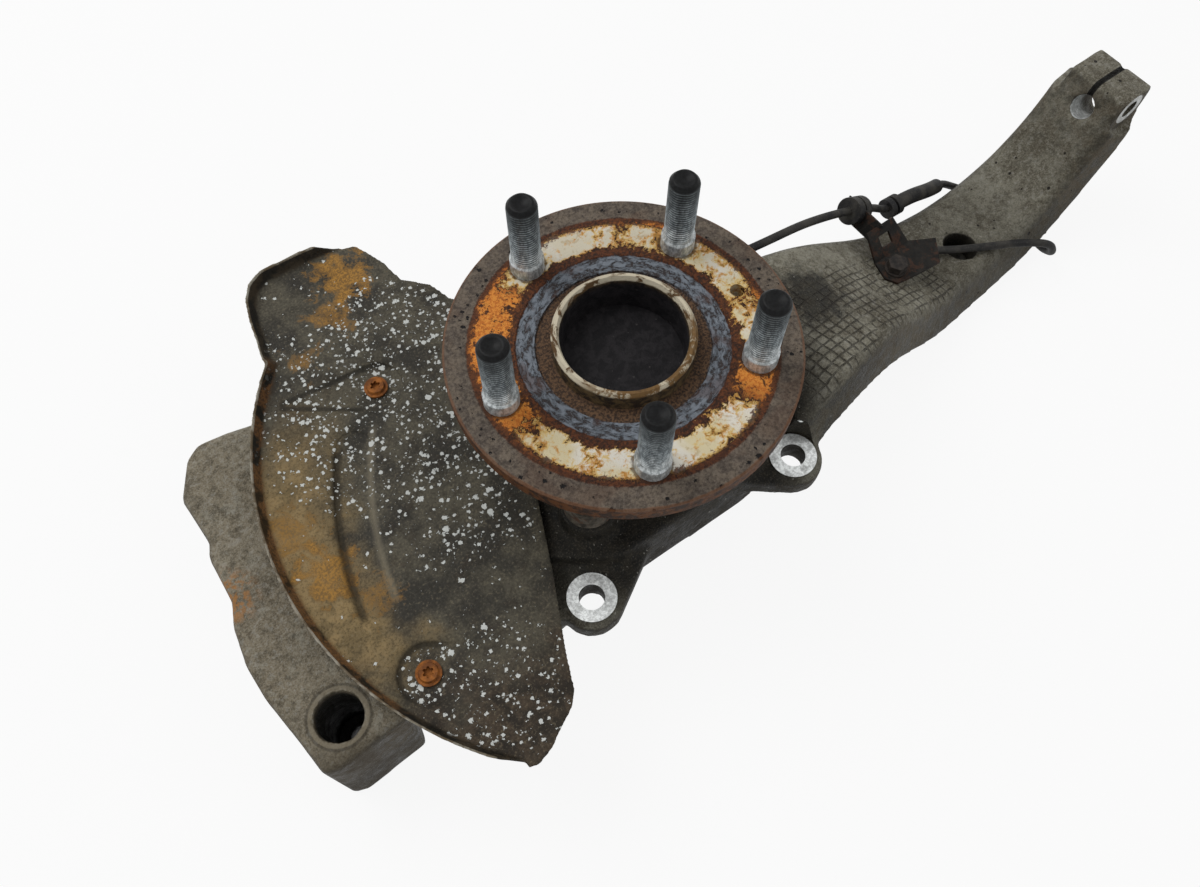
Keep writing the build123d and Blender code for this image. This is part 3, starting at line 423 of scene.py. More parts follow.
def hub_material():
    """Steel hub: rust and old white paint on the face, a pitted grey ring, a dark cup."""
    s = Shade("hub_steel", roughness=0.6)
    r = s.away((0, 0, 0))
    angle = s.math("ARCTAN2", s.y, s.x)
    fine = s.noise(1.2, detail=4, rough=0.7, seed=2)
    mid = s.noise(5, detail=6, rough=0.68, warp=0.5, seed=3)
    large = s.noise(24, detail=3, rough=0.5, warp=0.8, seed=4)
    wide = s.noise(14, detail=4, rough=0.6, seed=14)
    ragged = s.plus(s.times(s.math("SUBTRACT", mid, 0.5), 15.0), s.times(s.math("SUBTRACT", fine, 0.5), 9.0))
    ragged = s.plus(ragged, s.times(s.math("SUBTRACT", wide, 0.5), 9.0))
    # Rust: dark brown scale with orange dust, most of it at the left and the lower right
    rust = s.mix(s.fade(mid, 0.4, 0.6), rgb(58, 33, 21), rgb(116, 64, 30))
    orange = None
    for middle, half in ((150, 44), (-36, 26), (40, 12)):
        off = s.math("ABSOLUTE", s.math("SUBTRACT", angle, radians(middle)))
        turn = s.math("MINIMUM", off, s.math("SUBTRACT", 2 * pi, off))
        reach = s.fade(turn, radians(half + 12), radians(half - 10))
        orange = reach if orange is None else s.either(orange, reach)
    orange = s.times(orange, s.between(s.plus(r, ragged), 50, 68, 2.5))
    glow = s.mix(s.fade(fine, 0.42, 0.6), rgb(168, 96, 36), rgb(216, 142, 62))
    rust = s.mix(s.times(orange, s.fade(s.plus(mid, s.times(fine, 0.35)), 0.53, 0.63)), rust, glow)
    rust = s.mix(s.times(s.fade(large, 0.55, 0.7), 0.35), rust, rgb(150, 88, 40))
    flecks = s.math("SUBTRACT", 0.6, s.times(orange, 0.4))
    rust = s.mix(s.times(s.fade(fine, 0.52, 0.6), flecks), rust, rgb(40, 23, 16))
    # Old paint on stretches of the face, stained at its edges, with dark scale where it ends
    kept = None
    for middle, half in ((84, 28), (14, 22), (46, 8), (-30, 13), (-128, 40), (-82, 15)):
        off = s.math("ABSOLUTE", s.math("SUBTRACT", angle, radians(middle)))
        stretch = s.fade(off, radians(half + 12), radians(half - 6))
        kept = stretch if kept is None else s.either(kept, stretch)
    band = s.times(s.fade(r, 48.5, 54.5), s.fade(r, 70.0, 63.0))
    cover = s.plus(s.times(kept, band), s.times(s.math("SUBTRACT", mid, 0.5), 2.3))
    cover = s.plus(cover, s.times(s.math("SUBTRACT", fine, 0.5), 0.9))
    cover = s.plus(cover, s.times(s.math("SUBTRACT", wide, 0.5), 1.6))
    paint = s.mix(s.fade(large, 0.36, 0.58), rgb(206, 201, 190), rgb(196, 184, 150))
    streak = s.noise(9, detail=4, rough=0.6, warp=2.2, seed=5)
    paint = s.mix(s.times(s.fade(s.y, 10, 46), 0.6), paint, rgb(184, 179, 168))
    paint = s.mix(s.times(s.fade(streak, 0.56, 0.64), 0.45), paint, rgb(150, 126, 84))
    paint = s.mix(s.times(s.fade(fine, 0.6, 0.8), 0.2), paint, rgb(150, 138, 112))
    stained = s.mix(s.fade(fine, 0.4, 0.6), rgb(168, 118, 52), rgb(198, 160, 92))
    tan = s.mix(s.fade(streak, 0.44, 0.56), rgb(196, 166, 104), rgb(178, 126, 58))
    paint = s.mix(s.fade(cover, 1.08, 0.78), paint, tan)
    face = s.mix(s.between(cover, 0.42, 0.6, 0.06), rust, rgb(40, 24, 17))
    face = s.mix(s.fade(cover, 0.58, 0.63), face, stained)
    paint_here = s.fade(cover, 0.66, 0.74)
    face = s.mix(paint_here, face, paint)
    # Dark ragged scale at both borders of the face
    border = s.either(s.fade(s.plus(r, ragged), 53.0, 52.2), s.fade(s.plus(r, ragged), 65.8, 66.6))
    scale = s.mix(s.fade(fine, 0.4, 0.62), rgb(32, 20, 15), rgb(88, 50, 29))
    face = s.mix(s.times(border, 0.92), face, scale)
    # Dirt round the foot of each stud
    foot = None
    for k in range(STUD_COUNT):
        there = s.away(polar(STUD_PITCH_R, FIRST_STUD_ANGLE + 360 / STUD_COUNT * k) + (0,))
        foot = there if foot is None else s.math("MINIMUM", foot, there)
    foot = s.fade(s.plus(foot, s.times(s.math("SUBTRACT", mid, 0.5), 5)), 9.6, 8.6)
    face = s.mix(s.times(foot, 0.75), face, rgb(52, 33, 22))
    # Pitted grey ring and the brown groove inside it
    turned = s.add("ShaderNodeCombineXYZ")
    s.put(turned.inputs[0], s.times(angle, 24.0))
    s.put(turned.inputs[1], s.times(r, 1.15))
    crackle = s.noise(2.6, detail=5, rough=0.66, warp=0.5, where=turned.outputs[0])
    slate = s.mix(s.fade(crackle, 0.43, 0.5), rgb(48, 43, 43), rgb(108, 114, 122))
    slate = s.mix(s.times(s.fade(fine, 0.5, 0.62), 0.4), slate, rgb(124, 130, 136))
    slate = s.mix(s.times(s.fade(s.noise(13, detail=4, seed=12), 0.52, 0.62), 0.5), slate, rgb(74, 54, 48))
    face = s.mix(s.fade(s.plus(r, s.times(ragged, 0.1)), 47.9, 47.3), face, slate)
    brown = s.mix(s.fade(fine, 0.4, 0.6), rgb(46, 35, 28), rgb(96, 73, 54))
    face = s.mix(s.fade(s.plus(r, s.times(ragged, 0.18)), 39.6, 38.6), face, brown)
    # Outer band left by the brake disc, with black pits
    rim = s.mix(s.fade(mid, 0.4, 0.6), rgb(72, 64, 57), rgb(96, 86, 75))
    rim = s.mix(s.times(s.fade(fine, 0.5, 0.62), 0.35), rim, rgb(120, 111, 101))
    rim = s.mix(s.times(s.fade(large, 0.5, 0.65), 0.35), rim, rgb(78, 56, 42))
    rim = s.mix(s.times(s.fade(fine, 0.47, 0.4), 0.5), rim, rgb(34, 30, 27))
    pits = s.either(s.spots(3.6, 0.75, 0.5, seed=7, ragged=0.8), s.spots(8, 1.3, 0.4, seed=11, ragged=1.2))
    rim = s.mix(pits, rim, rgb(12, 10, 10))
    on_band = s.fade(s.plus(r, s.times(ragged, 0.12)), 68.8, 69.8)
    face = s.mix(on_band, face, rim)
    edge_line = s.fade(s.plus(r, s.times(ragged, 0.1)), 78.6, 79.4)
    face = s.mix(s.times(edge_line, 0.55), face, rgb(104, 66, 40))
    # Rim side
    side = s.times(s.fade(s.z, -0.8, -1.6), s.fade(r, 76, 79))
    rim_rust = s.mix(s.fade(mid, 0.4, 0.6), rgb(48, 35, 27), rgb(92, 58, 34))
    face = s.mix(side, face, rim_rust)
    # Spigot: worn cream lip, greyer wall, dark dusty cup
    s.put(turned.inputs[2], s.z)
    stretched = s.vector("MULTIPLY", turned.outputs[0], (0.55, 1, 1))
    chips = s.noise(5.0, detail=6, rough=0.7, warp=0.6, where=stretched)
    wall = s.mix(s.fade(mid, 0.4, 0.6), rgb(40, 32, 26), rgb(92, 76, 52))
    lip = s.mix(s.fade(chips, 0.42, 0.5), rgb(84, 64, 42), rgb(186, 177, 156))
    low = s.fade(s.y, -4, -20)
    lip = s.mix(s.times(low, s.fade(mid, 0.4, 0.52)), lip, s.mix(fine, rgb(70, 48, 28), rgb(128, 100, 62)))
    spigot = s.mix(s.fade(s.plus(s.z, s.times(ragged, 0.1)), 6.4, 7.6), wall, lip)
    face = s.mix(s.times(s.fade(r, 33.2, 32.6), s.fade(s.z, -1.8, -0.9)), face, spigot)
    dust = s.spots(3.0, 0.4, 0.3, seed=8, ragged=0.8)
    cup = s.mix(s.fade(mid, 0.42, 0.6), rgb(18, 17, 19), rgb(34, 32, 34))
    cup = s.mix(s.times(s.fade(fine, 0.52, 0.62), 0.22), cup, rgb(42, 39, 40))
    cup = s.mix(s.times(dust, 0.28), cup, rgb(88, 83, 82))
    face = s.mix(s.times(s.fade(r, 28.7, 28.2), s.fade(s.z, 7.4, 5.6)), face, cup)
    # Behind the flange
    behind = s.times(s.fade(s.z, -FLANGE_SKIN, -FLANGE_SKIN - 1.0), s.fade(r, 29.0, 30.0))
    face = s.mix(behind, face, rgb(44, 39, 36))
    roughness = s.plus(0.48, s.times(fine, 0.35))
    roughness = s.math("SUBTRACT", roughness, s.times(paint_here, 0.25))
    pitted = s.times(s.between(r, 39, 48, 0.5), s.fade(crackle, 0.42, 0.56))
    flaked = s.times(paint_here, s.fade(s.z, -1.2, -0.3))
    return s.finish(
        face,
        roughness=roughness,
        bumps=(
            (pitted, 0.5),
            (flaked, 0.3),
            (s.math("SUBTRACT", 1.0, s.times(pits, on_band)), 0.5),
            (s.noise(1.1, detail=4, rough=0.7, seed=9), 0.35),
        ),
    )


def stud_material():
    """Zinc-plated stud: pale and scuffed near the base, grey above with dirt and painted shade in the thread
    grooves, black at the end.
    """
    s = Shade("stud_zinc", roughness=0.42, metallic=0.7, specular=0.15)
    fine = s.noise(1.6, detail=4, rough=0.7, seed=1, stretch=(1, 1, 0.45))
    mid = s.noise(6, detail=3, seed=2)
    own = None
    for k in range(STUD_COUNT):
        there = s.away(polar(STUD_PITCH_R, FIRST_STUD_ANGLE + 360 / STUD_COUNT * k) + (0,))
        own = there if own is None else s.math("MINIMUM", own, there)
    colour = s.mix(s.fade(fine, 0.38, 0.62), rgb(100, 106, 109), rgb(152, 160, 163))
    pale = s.fade(s.plus(s.z, s.times(s.math("SUBTRACT", mid, 0.5), 22)), 22, 8)
    scuffed = s.mix(s.fade(fine, 0.4, 0.6), rgb(176, 182, 183), rgb(232, 237, 238))
    colour = s.mix(s.times(pale, 0.75), colour, scuffed)
    dark = s.fade(s.plus(s.z, s.times(mid, 14)), 30, 48)
    colour = s.mix(s.times(dark, 0.75), colour, rgb(52, 55, 56))
    # Dirt and painted shade: the thread grooves coloured dark
    thread_dirt_and_shade = s.fade(own, STUD_D / 2 - 0.12, STUD_D / 2 - 0.5)
    thread_dirt_and_shade = s.times(thread_dirt_and_shade, s.fade(s.z, STUD_SHOULDER_H, STUD_SHOULDER_H + 1))
    colour = s.mix(s.times(thread_dirt_and_shade, 0.9), colour, rgb(22, 22, 22))
    tip = s.fade(s.plus(s.z, s.times(fine, 2.0)), STUD_REACH - 1.6, STUD_REACH - 0.4)
    tip = s.either(tip, s.times(s.fade(own, 5.6, 5.0), s.fade(s.z, STUD_REACH - 4, STUD_REACH - 3)))
    colour = s.mix(tip, colour, s.mix(s.fade(fine, 0.45, 0.6), rgb(3, 3, 4), rgb(16, 17, 18)))
    metallic = s.math("SUBTRACT", 0.7, s.times(s.either(tip, thread_dirt_and_shade), 0.7))
    roughness = s.plus(0.34, s.times(fine, 0.3))
    return s.finish(colour, roughness=roughness, metallic=metallic, bumps=((fine, 0.12),))


def shield_material():
    """Pressed sheet: black paint gone olive-brown, rust clouds, and white specks of corrosion."""
    s = Shade("shield_sheet", roughness=0.6)
    clouds = s.noise(40, detail=4, seed=1)
    mid = s.noise(9, detail=5, rough=0.6, warp=0.4, seed=2)
    fine = s.noise(1.2, detail=4, rough=0.7, seed=3)
    broad = s.noise(26, detail=5, rough=0.6, seed=11)
    black = s.mix(s.fade(broad, 0.38, 0.6), rgb(46, 44, 39), rgb(76, 72, 61))
    black = s.mix(s.times(s.fade(mid, 0.5, 0.62), 0.4), black, rgb(34, 32, 28))
    olive = s.mix(s.fade(mid, 0.38, 0.62), rgb(104, 88, 58), rgb(136, 115, 78))
    # Black towards the hub, olive-brown along the left, dark brown at the bottom
    off_y = s.plus(s.y, s.times(s.math("SUBTRACT", broad, 0.5), 70))
    outward = s.fade(s.plus(s.away((0, 0, 0)), s.times(s.math("SUBTRACT", broad, 0.5), 60)), 132, 164)
    outward = s.times(outward, s.between(off_y, -42, 84, 26))
    colour = s.mix(s.times(outward, 0.9), black, olive)
    low_end = s.fade(off_y, -50, -86)
    umber = s.mix(s.fade(mid, 0.4, 0.6), rgb(34, 28, 22), rgb(66, 55, 43))
    colour = s.mix(s.times(low_end, 0.85), colour, umber)
    colour = s.mix(s.times(s.fade(fine, 0.5, 0.6), 0.4), colour, rgb(36, 32, 25))
    colour = s.mix(s.times(s.fade(fine, 0.44, 0.36), 0.3), colour, rgb(122, 112, 90))
    rust = s.mix(s.fade(fine, 0.4, 0.6), rgb(108, 78, 36), rgb(164, 120, 52))
    for centre, radius, share in (
        ((-70, 154), 13, 0.85),
        ((-86, 138), 9, 0.6),
        ((-112, 118), 4, 0.5),
        ((-166, 40), 12, 0.45),
        ((-160, 14), 12, 0.7),
        ((-148, -8), 7, 0.5),
        ((-176, 66), 9, 0.3),
    ):
        near = s.plus(s.away(centre + (0,)), s.times(s.math("SUBTRACT", mid, 0.5), 60))
        near = s.plus(near, s.times(s.math("SUBTRACT", fine, 0.5), 30))
        colour = s.mix(s.times(s.fade(near, radius + 4, radius - 5), share), colour, rust)
    # Painted shade on the outer wall of the channel and along one side of each teardrop; a painted highlight
    # on the channel's inner wall
    centre, reach = circle_through(PRESSINGS[0][0], PRESSINGS[0][2], PRESSINGS[0][4])
    aside = s.math("SUBTRACT", s.away(centre + (0,)), reach)
    along = s.between(s.y, -16, 66, 3)
    shade = s.times(s.between(aside, 5.6, 9.6, 1.3), along)
    shine = s.times(s.between(aside, -10.6, -7.6, 1.6), along)
    for (x0, y0), (x1, y1) in (PRESSINGS[1], PRESSINGS[2]):
        run = ((x1 - x0) ** 2 + (y1 - y0) ** 2) ** 0.5
        ahead = ((x1 - x0) / run, (y1 - y0) / run, 0)
        off = s.vector("SUBTRACT", s.vector("MULTIPLY", s.p, (1, 1, 0)), (x0, y0, 0))
        t = s.math("MAXIMUM", s.vector("DOT_PRODUCT", off, ahead), 0.0)
        t = s.math("MINIMUM", t, run)
        from_line = s.vector("DISTANCE", off, s.vector("SCALE", ahead, scale=t))
        width = s.math("SUBTRACT", 14.5, s.times(t, 11.5 / run))
        rim_gap = s.math("SUBTRACT", from_line, width)
        side_t = s.vector("DOT_PRODUCT", off, (-0.5, 0.86, 0))
        shade = s.either(shade, s.times(s.between(rim_gap, -2.6, 0.2, 0.9), s.fade(side_t, -4, 4)))
    colour = s.mix(s.times(shade, 0.72), colour, rgb(22, 20, 15))
    colour = s.mix(s.times(shine, 0.4), colour, rgb(134, 126, 108))
    # White specks, thickest right of the middle and round the screws
    dense = s.fade(s.plus(s.away((-80, 74, 0)), s.times(clouds, 50)), 114, 66)
    ring = s.either(s.fade(s.away((-90.4, 85.7, 0)), 16, 10), s.fade(s.away((-146.6, -53.1, 0)), 17, 10))
    lower = s.times(s.fade(s.away((-120, -78, 0)), 44, 20), 0.45)
    across = s.times(s.fade(s.plus(s.away((-92, 10, 0)), s.times(clouds, 30)), 72, 34), 0.42)
    dense = s.either(dense, s.either(s.times(ring, 0.8), s.either(lower, across)))
    tiny = s.spots(2.0, 0.55, 0.6, seed=4, edge=0.9, ragged=0.7)
    small = s.spots(2.8, 0.9, 0.85, seed=5, edge=0.6, ragged=1.0)
    larger = s.spots(5.0, 1.25, 0.75, seed=6, edge=0.45, ragged=1.3)
    gate = s.fade(s.plus(s.noise(6, detail=3, seed=9), s.times(dense, 0.5)), 0.6, 0.68)
    open_gate = s.fade(s.plus(s.noise(14, detail=3, seed=10), s.times(dense, 0.5)), 0.6, 0.75)
    specks = s.either(s.times(tiny, s.plus(0.16, s.times(dense, 0.75))), s.times(small, gate))
    specks = s.either(specks, s.times(larger, open_gate))
    strong = s.fade(specks, 0.25, 0.6)
    white = s.mix(fine, rgb(168, 170, 166), rgb(214, 217, 214))
    colour = s.mix(s.times(strong, 0.9), colour, white)
    # Turned rim: darkened by dirt and painted shade, rust towards the bottom, and a pale band along its top
    # edge
    wall = s.mix(s.fade(mid, 0.4, 0.6), rgb(20, 18, 14), rgb(52, 44, 33))
    rusty = s.times(s.between(off_y, -60, 124, 12), s.fade(mid, 0.4, 0.55))
    wall = s.mix(s.times(rusty, 0.7), wall, s.mix(s.fade(fine, 0.4, 0.6), rgb(74, 49, 29), rgb(122, 84, 48)))
    turned = s.fade(s.plus(s.z, s.times(mid, 1.2)), RIM_FOOT_Z + 0.6, RIM_FOOT_Z + 2.2)
    colour = s.mix(s.times(turned, 0.9), colour, wall)
    rim_top_band = s.fade(s.plus(s.z, s.times(s.math("SUBTRACT", fine, 0.5), 0.5)), RIM_TOP_Z - 1.0, RIM_TOP_Z - 0.6)
    rim_top_colour = s.mix(s.fade(mid, 0.4, 0.6), rgb(96, 84, 66), rgb(150, 146, 134))
    colour = s.mix(s.times(rim_top_band, 0.85), colour, rim_top_colour)
    return s.finish(
        colour,
        roughness=s.plus(0.42, s.times(fine, 0.4)),
        bumps=((mid, 0.5), (fine, 0.25), (strong, 0.3)),
    )


def circle_through(a, b, c):
    """Centre and radius of the circle through three points."""
    turned = np.array([[b[0] - a[0], b[1] - a[1]], [c[0] - a[0], c[1] - a[1]]])
    half = 0.5 * (turned ** 2).sum(axis=1)
    centre = np.linalg.solve(turned, half) + np.array(a)
    return (float(centre[0]), float(centre[1])), float(np.hypot(*(centre - np.array(a))))


def rusty_material(name, dark, light, metallic=0.0, rusted=0.0):
    """Scaly steel in two tones, with rust patches of a given strength."""
    s = Shade(name, metallic=metallic)
    fine = s.noise(1.1, detail=4, rough=0.7, seed=1)
    mid = s.noise(5, detail=4, rough=0.6, seed=2)
    colour = s.mix(s.fade(mid, 0.35, 0.65), rgb(*dark), rgb(*light))
    patch = s.fade(s.noise(7, detail=5, rough=0.65, warp=0.5, seed=4), 0.53, 0.6)
    rust = s.mix(s.fade(fine, 0.4, 0.6), rgb(74, 46, 32), rgb(112, 70, 46))
    colour = s.mix(s.times(patch, rusted), colour, rust)
    colour = s.mix(s.times(s.fade(fine, 0.5, 0.75), 0.5), colour, rgb(40, 28, 20))
    return s.finish(colour, roughness=s.plus(0.5, s.times(fine, 0.35)), bumps=((fine, 0.3),))


def rubber_material(name, dusty):
    """Black rubber with pale dust in its scuffs."""
    s = Shade(name)
    fine = s.noise(0.8, detail=3, rough=0.6, seed=1)
    mid = s.noise(9, detail=3, seed=2)
    colour = s.mix(s.times(s.fade(mid, 0.35, 0.7), dusty), rgb(27, 27, 28), rgb(92, 88, 80))
    colour = s.mix(s.times(s.fade(fine, 0.55, 0.75), 0.25), colour, rgb(120, 116, 108))
    return s.finish(colour, roughness=s.plus(0.45, s.times(fine, 0.25)), bumps=((fine, 0.12),))


def steel_material(name, dark, light, roughness=0.35):
    """Ground or plated steel with fine scratches."""
    s = Shade(name, metallic=0.85, specular=0.5)
    fine = s.noise(0.7, detail=3, rough=0.6, seed=1)
    mid = s.noise(7, detail=3, seed=2)
    colour = s.mix(s.fade(mid, 0.35, 0.65), rgb(*dark), rgb(*light))
    return s.finish(colour, roughness=s.plus(roughness, s.times(fine, 0.2)), bumps=((fine, 0.06),))


cast = cast_material()
hub_steel = hub_material()
stud_zinc = stud_material()
sheet = shield_material()
screw_rust = rusty_material("screw_rust", (98, 58, 28), (150, 92, 40))
plate_rust = rusty_material("plate_rust", (13, 13, 12), (30, 28, 25), rusted=0.2)
bolt_black = rusty_material("bolt_black", (26, 25, 25), (52, 47, 43))
rubber = rubber_material("black_rubber", 0.3)
seal_black = rubber_material("seal_rubber", 0.2)
dirty_steel = rusty_material("dirty_steel", (54, 50, 45), (104, 98, 88), metallic=0.25, rusted=0.5)
ring_steel = steel_material("ring_steel", (118, 120, 120), (184, 186, 184))
zinc = steel_material("zinc_steel", (122, 122, 116), (176, 176, 168), 0.42)
encoder_steel = steel_material("encoder_steel", (60, 60, 64), (96, 96, 100))
sensor_black = rubber_material("sensor_plastic", 0.3)
cage_cream = rusty_material("cage_plastic", (176, 160, 118), (196, 182, 142))

MATERIALS = {
    "knuckle_casting": cast,
    "dust_shield": sheet,
    "shield_screws": screw_rust,
    "bearing_outer_ring": dirty_steel,
    "outboard_seal": seal_black,
    "bearing_end_cap": dirty_steel,
    "bearing_bolts": dirty_steel,
    "wheel_speed_sensor": sensor_black,
    "sensor_bolt": zinc,
    "sensor_lead": rubber,
    "lead_sleeve": rubber,
    "lead_grommets": rubber,
    "cable_bracket": plate_rust,
    "bracket_bolt": bolt_black,
    "wheel_hub": hub_steel,
    "wheel_studs": stud_zinc,
    "bearing_inner_ring": ring_steel,
    "encoder_ring": encoder_steel,
    "outboard_balls": ring_steel,
    "outboard_cage": cage_cream,
    "inboard_balls": ring_steel,
    "inboard_cage": cage_cream,
}
for node, material in MATERIALS.items():
    wear(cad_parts[node], material)

# Studs with their threads


def thread_radius(z, turn):
    """Radius of the stud at a height; turn is the share of a turn round the axis."""
    if z <= STUD_SHOULDER_H:
        return STUD_SHOULDER_D / 2
    full = STUD_D / 2
    end = full - max(0.0, z - (STUD_REACH - 2.4)) * 0.75
    run_in = min(1.0, max(0.0, (z - STUD_SHOULDER_H - 1.0) / 2.0))
    phase = (z / THREAD_PITCH - turn) % 1.0
    depth = abs(phase - 0.5) * 2
    return min(end, full - THREAD_DEPTH * (1 - depth) * run_in)


def studs_mesh(sides=40, step=0.25):
    verts, faces = [], []
    heights = [0.0, STUD_SHOULDER_H - 0.7, STUD_SHOULDER_H]
    foot = STUD_SHOULDER_H + 0.8
    heights += [foot + step * i for i in range(int((STUD_REACH - STUD_SHOULDER_H - 0.8) / step) + 1)]
    for k in range(STUD_COUNT):
        cx, cy = polar(STUD_PITCH_R, FIRST_STUD_ANGLE + 360 / STUD_COUNT * k)
        base = len(verts)
        for z in [-12.0] + heights:
            for i in range(sides):
                turn = i / sides
                r = STUD_D / 2 if z < 0 else thread_radius(z, turn)
                verts.append((cx + r * cos(2 * pi * turn), cy + r * sin(2 * pi * turn), z))
        rows = len(heights) + 1
        for j in range(rows - 1):
            for i in range(sides):
                a, b = base + j * sides + i, base + j * sides + (i + 1) % sides
                faces.append((a, b, b + sides, a + sides))
        # Dished end
        last = base + (rows - 1) * sides
        for r, z in ((4.4, STUD_REACH), (3.6, STUD_REACH - 0.5), (1.4, STUD_REACH - 1.6)):
            ring = len(verts)
            for i in range(sides):
                verts.append((cx + r * cos(2 * pi * i / sides), cy + r * sin(2 * pi * i / sides), z))
            for i in range(sides):
                a, b = last + i, last + (i + 1) % sides
                faces.append((a, b, ring + (i + 1) % sides, ring + i))
            last = ring
        faces.append(tuple(last + i for i in range(sides)))
        faces.append(tuple(base + i for i in range(sides))[::-1])
    mesh = mesh_from("threaded_studs", verts, faces)
    smooth_faces(mesh, 50)
    return mesh


studs = new_piece("threaded_studs", studs_mesh(), "hub", "wheel_studs")
wear(studs, stud_zinc)

# Casting


def relax(mesh, rounds, hold, along=(1, 1, 1)):
    """Evens a dense mesh out by moving each point towards its neighbours; hold is 0 where it may move."""
    count = len(mesh.vertices)
    edges = np.empty(len(mesh.edges) * 2, dtype=np.int64)
    mesh.edges.foreach_get("vertices", edges)
    a, b = edges[0::2], edges[1::2]
    place = np.empty(count * 3)
    mesh.vertices.foreach_get("co", place)
    place = place.reshape(-1, 3)
    valence = np.bincount(a, minlength=count) + np.bincount(b, minlength=count)
    free = (1 - hold(place / MM))[:, None]
    for _ in range(rounds):
        sums = [np.bincount(a, place[b, k], count) + np.bincount(b, place[a, k], count) for k in range(3)]
        total = np.stack(sums, axis=1)
        place = place + free * 0.5 * np.array(along) * (total / valence[:, None] - place)
    mesh.vertices.foreach_set("co", place.reshape(-1))
    mesh.update()


def voxel_copy(node, name, voxel):
    """The node's solid as an even dense mesh."""
    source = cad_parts[node]
    draft = bpy.data.objects.new(name + "_draft", source.data.copy())
    bpy.context.scene.collection.objects.link(draft)
    remesh = draft.modifiers.new("even", "REMESH")
    remesh.mode = "VOXEL"
    remesh.voxel_size = voxel * MM
    bpy.context.view_layer.update()
    shape = draft.evaluated_get(bpy.context.evaluated_depsgraph_get())
    mesh = bpy.data.meshes.new_from_object(shape)
    mesh.name = name
    bpy.data.objects.remove(draft)
    return mesh


def bearing_hold(p):
    """Keeps the bearing's seat true while the rest of the casting is relaxed."""
    return (np.hypot(p[:, 0], p[:, 1]) < 46).astype(float)


def shield_hold(p):
    """Keeps the shield's turned rim as high as it is."""
    return (p[:, 2] > RIM_FOOT_Z + 1.0).astype(float)


def outside(p, centre, radius):
    """Keeps all but a disc round a place."""
    return (np.hypot(p[:, 0] - centre[0], p[:, 1] - centre[1]) > radius).astype(float)


def soften_pressings(mesh, reach=22.0, blur=1.5):
    """Slopes the walls of the shield's pressings: heights near them follow the sheet's blurred middle."""
    count = len(mesh.vertices)
    place = np.empty(count * 3)
    mesh.vertices.foreach_get("co", place)
    p = place.reshape(-1, 3) / MM
    near = np.full(count, 1e9)
    for line in PRESSINGS:
        for a, b in zip(line[:-1], line[1:]):
            a, b = np.array(a), np.array(b)
            t = np.clip((p[:, :2] - a) @ (b - a) / ((b - a) @ (b - a)), 0, 1)[:, None]
            near = np.minimum(near, np.linalg.norm(p[:, :2] - a - t * (b - a), axis=1))
    flat = (p[:, 2] > SHIELD_Z - 4) & (p[:, 2] < RIM_FOOT_Z + 0.8)
    low = p[:, :2].min(axis=0)
    cell = np.floor(p[:, :2] - low).astype(int)
    size = cell.max(axis=0) + 1
    key = cell[:, 0] * size[1] + cell[:, 1]
    filled = np.bincount(key[flat], minlength=size[0] * size[1]).reshape(size)
    heights = np.bincount(key[flat], p[flat, 2] - SHIELD_Z, size[0] * size[1]).reshape(size)
    middle = heights / np.maximum(filled, 1)
    kernel = np.exp(-0.5 * (np.arange(-8, 9) / blur) ** 2)
    share = (filled > 0).astype(float)
    soft = middle * share
    for axis in (0, 1):
        soft = np.apply_along_axis(np.convolve, axis, soft, kernel, "same")
        share = np.apply_along_axis(np.convolve, axis, share, kernel, "same")
    soft = soft / np.maximum(share, 1e-6)
    own = middle.reshape(-1)[key]
    turned = SHIELD_Z + soft.reshape(-1)[key] + np.clip(p[:, 2] - SHIELD_Z - own, -0.6, 0.6)
    chosen = flat & (near < reach)
    p[chosen, 2] = turned[chosen]
    mesh.vertices.foreach_set("co", (p * MM).reshape(-1))
    mesh.update()


def carve(obj, operation, verts, faces):
    """Cuts a closed solid out of an object or joins one to it, for good."""
    tool = bpy.data.objects.new("tool", mesh_from("tool", verts, faces))
    bpy.context.scene.collection.objects.link(tool)
    modifier = obj.modifiers.new("carve", "BOOLEAN")
    modifier.operation = operation
    modifier.object = tool
    modifier.solver = "MANIFOLD"
    bpy.context.view_layer.update()
    shape = obj.evaluated_get(bpy.context.evaluated_depsgraph_get())
    result = bpy.data.meshes.new_from_object(shape)
    old = obj.data
    obj.modifiers.clear()
    obj.data = result
    bpy.data.meshes.remove(old)
    used = tool.data
    bpy.data.objects.remove(tool)
    bpy.data.meshes.remove(used)


def prism(points, low, high):
    """Closed solid between two planes of y, over points in x and z."""
    count = len(points)
    verts = [(x, low, z) for x, z in points] + [(x, high, z) for x, z in points]
    faces = [(i, (i + 1) % count, count + (i + 1) % count, count + i) for i in range(count)]
    faces += [tuple(range(count))[::-1], tuple(range(count, 2 * count))]
    return verts, faces


cast_mesh = voxel_copy("knuckle_casting", "cast_body", CAST_VOXEL)
relax(cast_mesh, 4, bearing_hold)
casting = new_piece("cast_body", cast_mesh, "knuckle", "knuckle_casting")
# Machined pads, crisp against the cast skin, faced from both sides
for x, y in LUGS:
    above = cylinder_mesh(LUG_PAD_R + 1, (x, y, LUG_FACE_Z - 0.6), (x, y, LUG_FACE_Z + 14))
    below = cylinder_mesh(LUG_PAD_R, (x, y, LUG_BACK_Z - 22), (x, y, LUG_BACK_Z))
    pad = cylinder_mesh(LUG_PAD_R, (x, y, LUG_FACE_Z - 5), (x, y, LUG_FACE_Z))
    carve(casting, "DIFFERENCE", *above)
    carve(casting, "DIFFERENCE", *below)
    carve(casting, "UNION", *pad)
carve(casting, "UNION", *cylinder_mesh(PINCH_PAD_R, (PINCH[0], PINCH[1] + 6, PINCH[2]), PINCH))
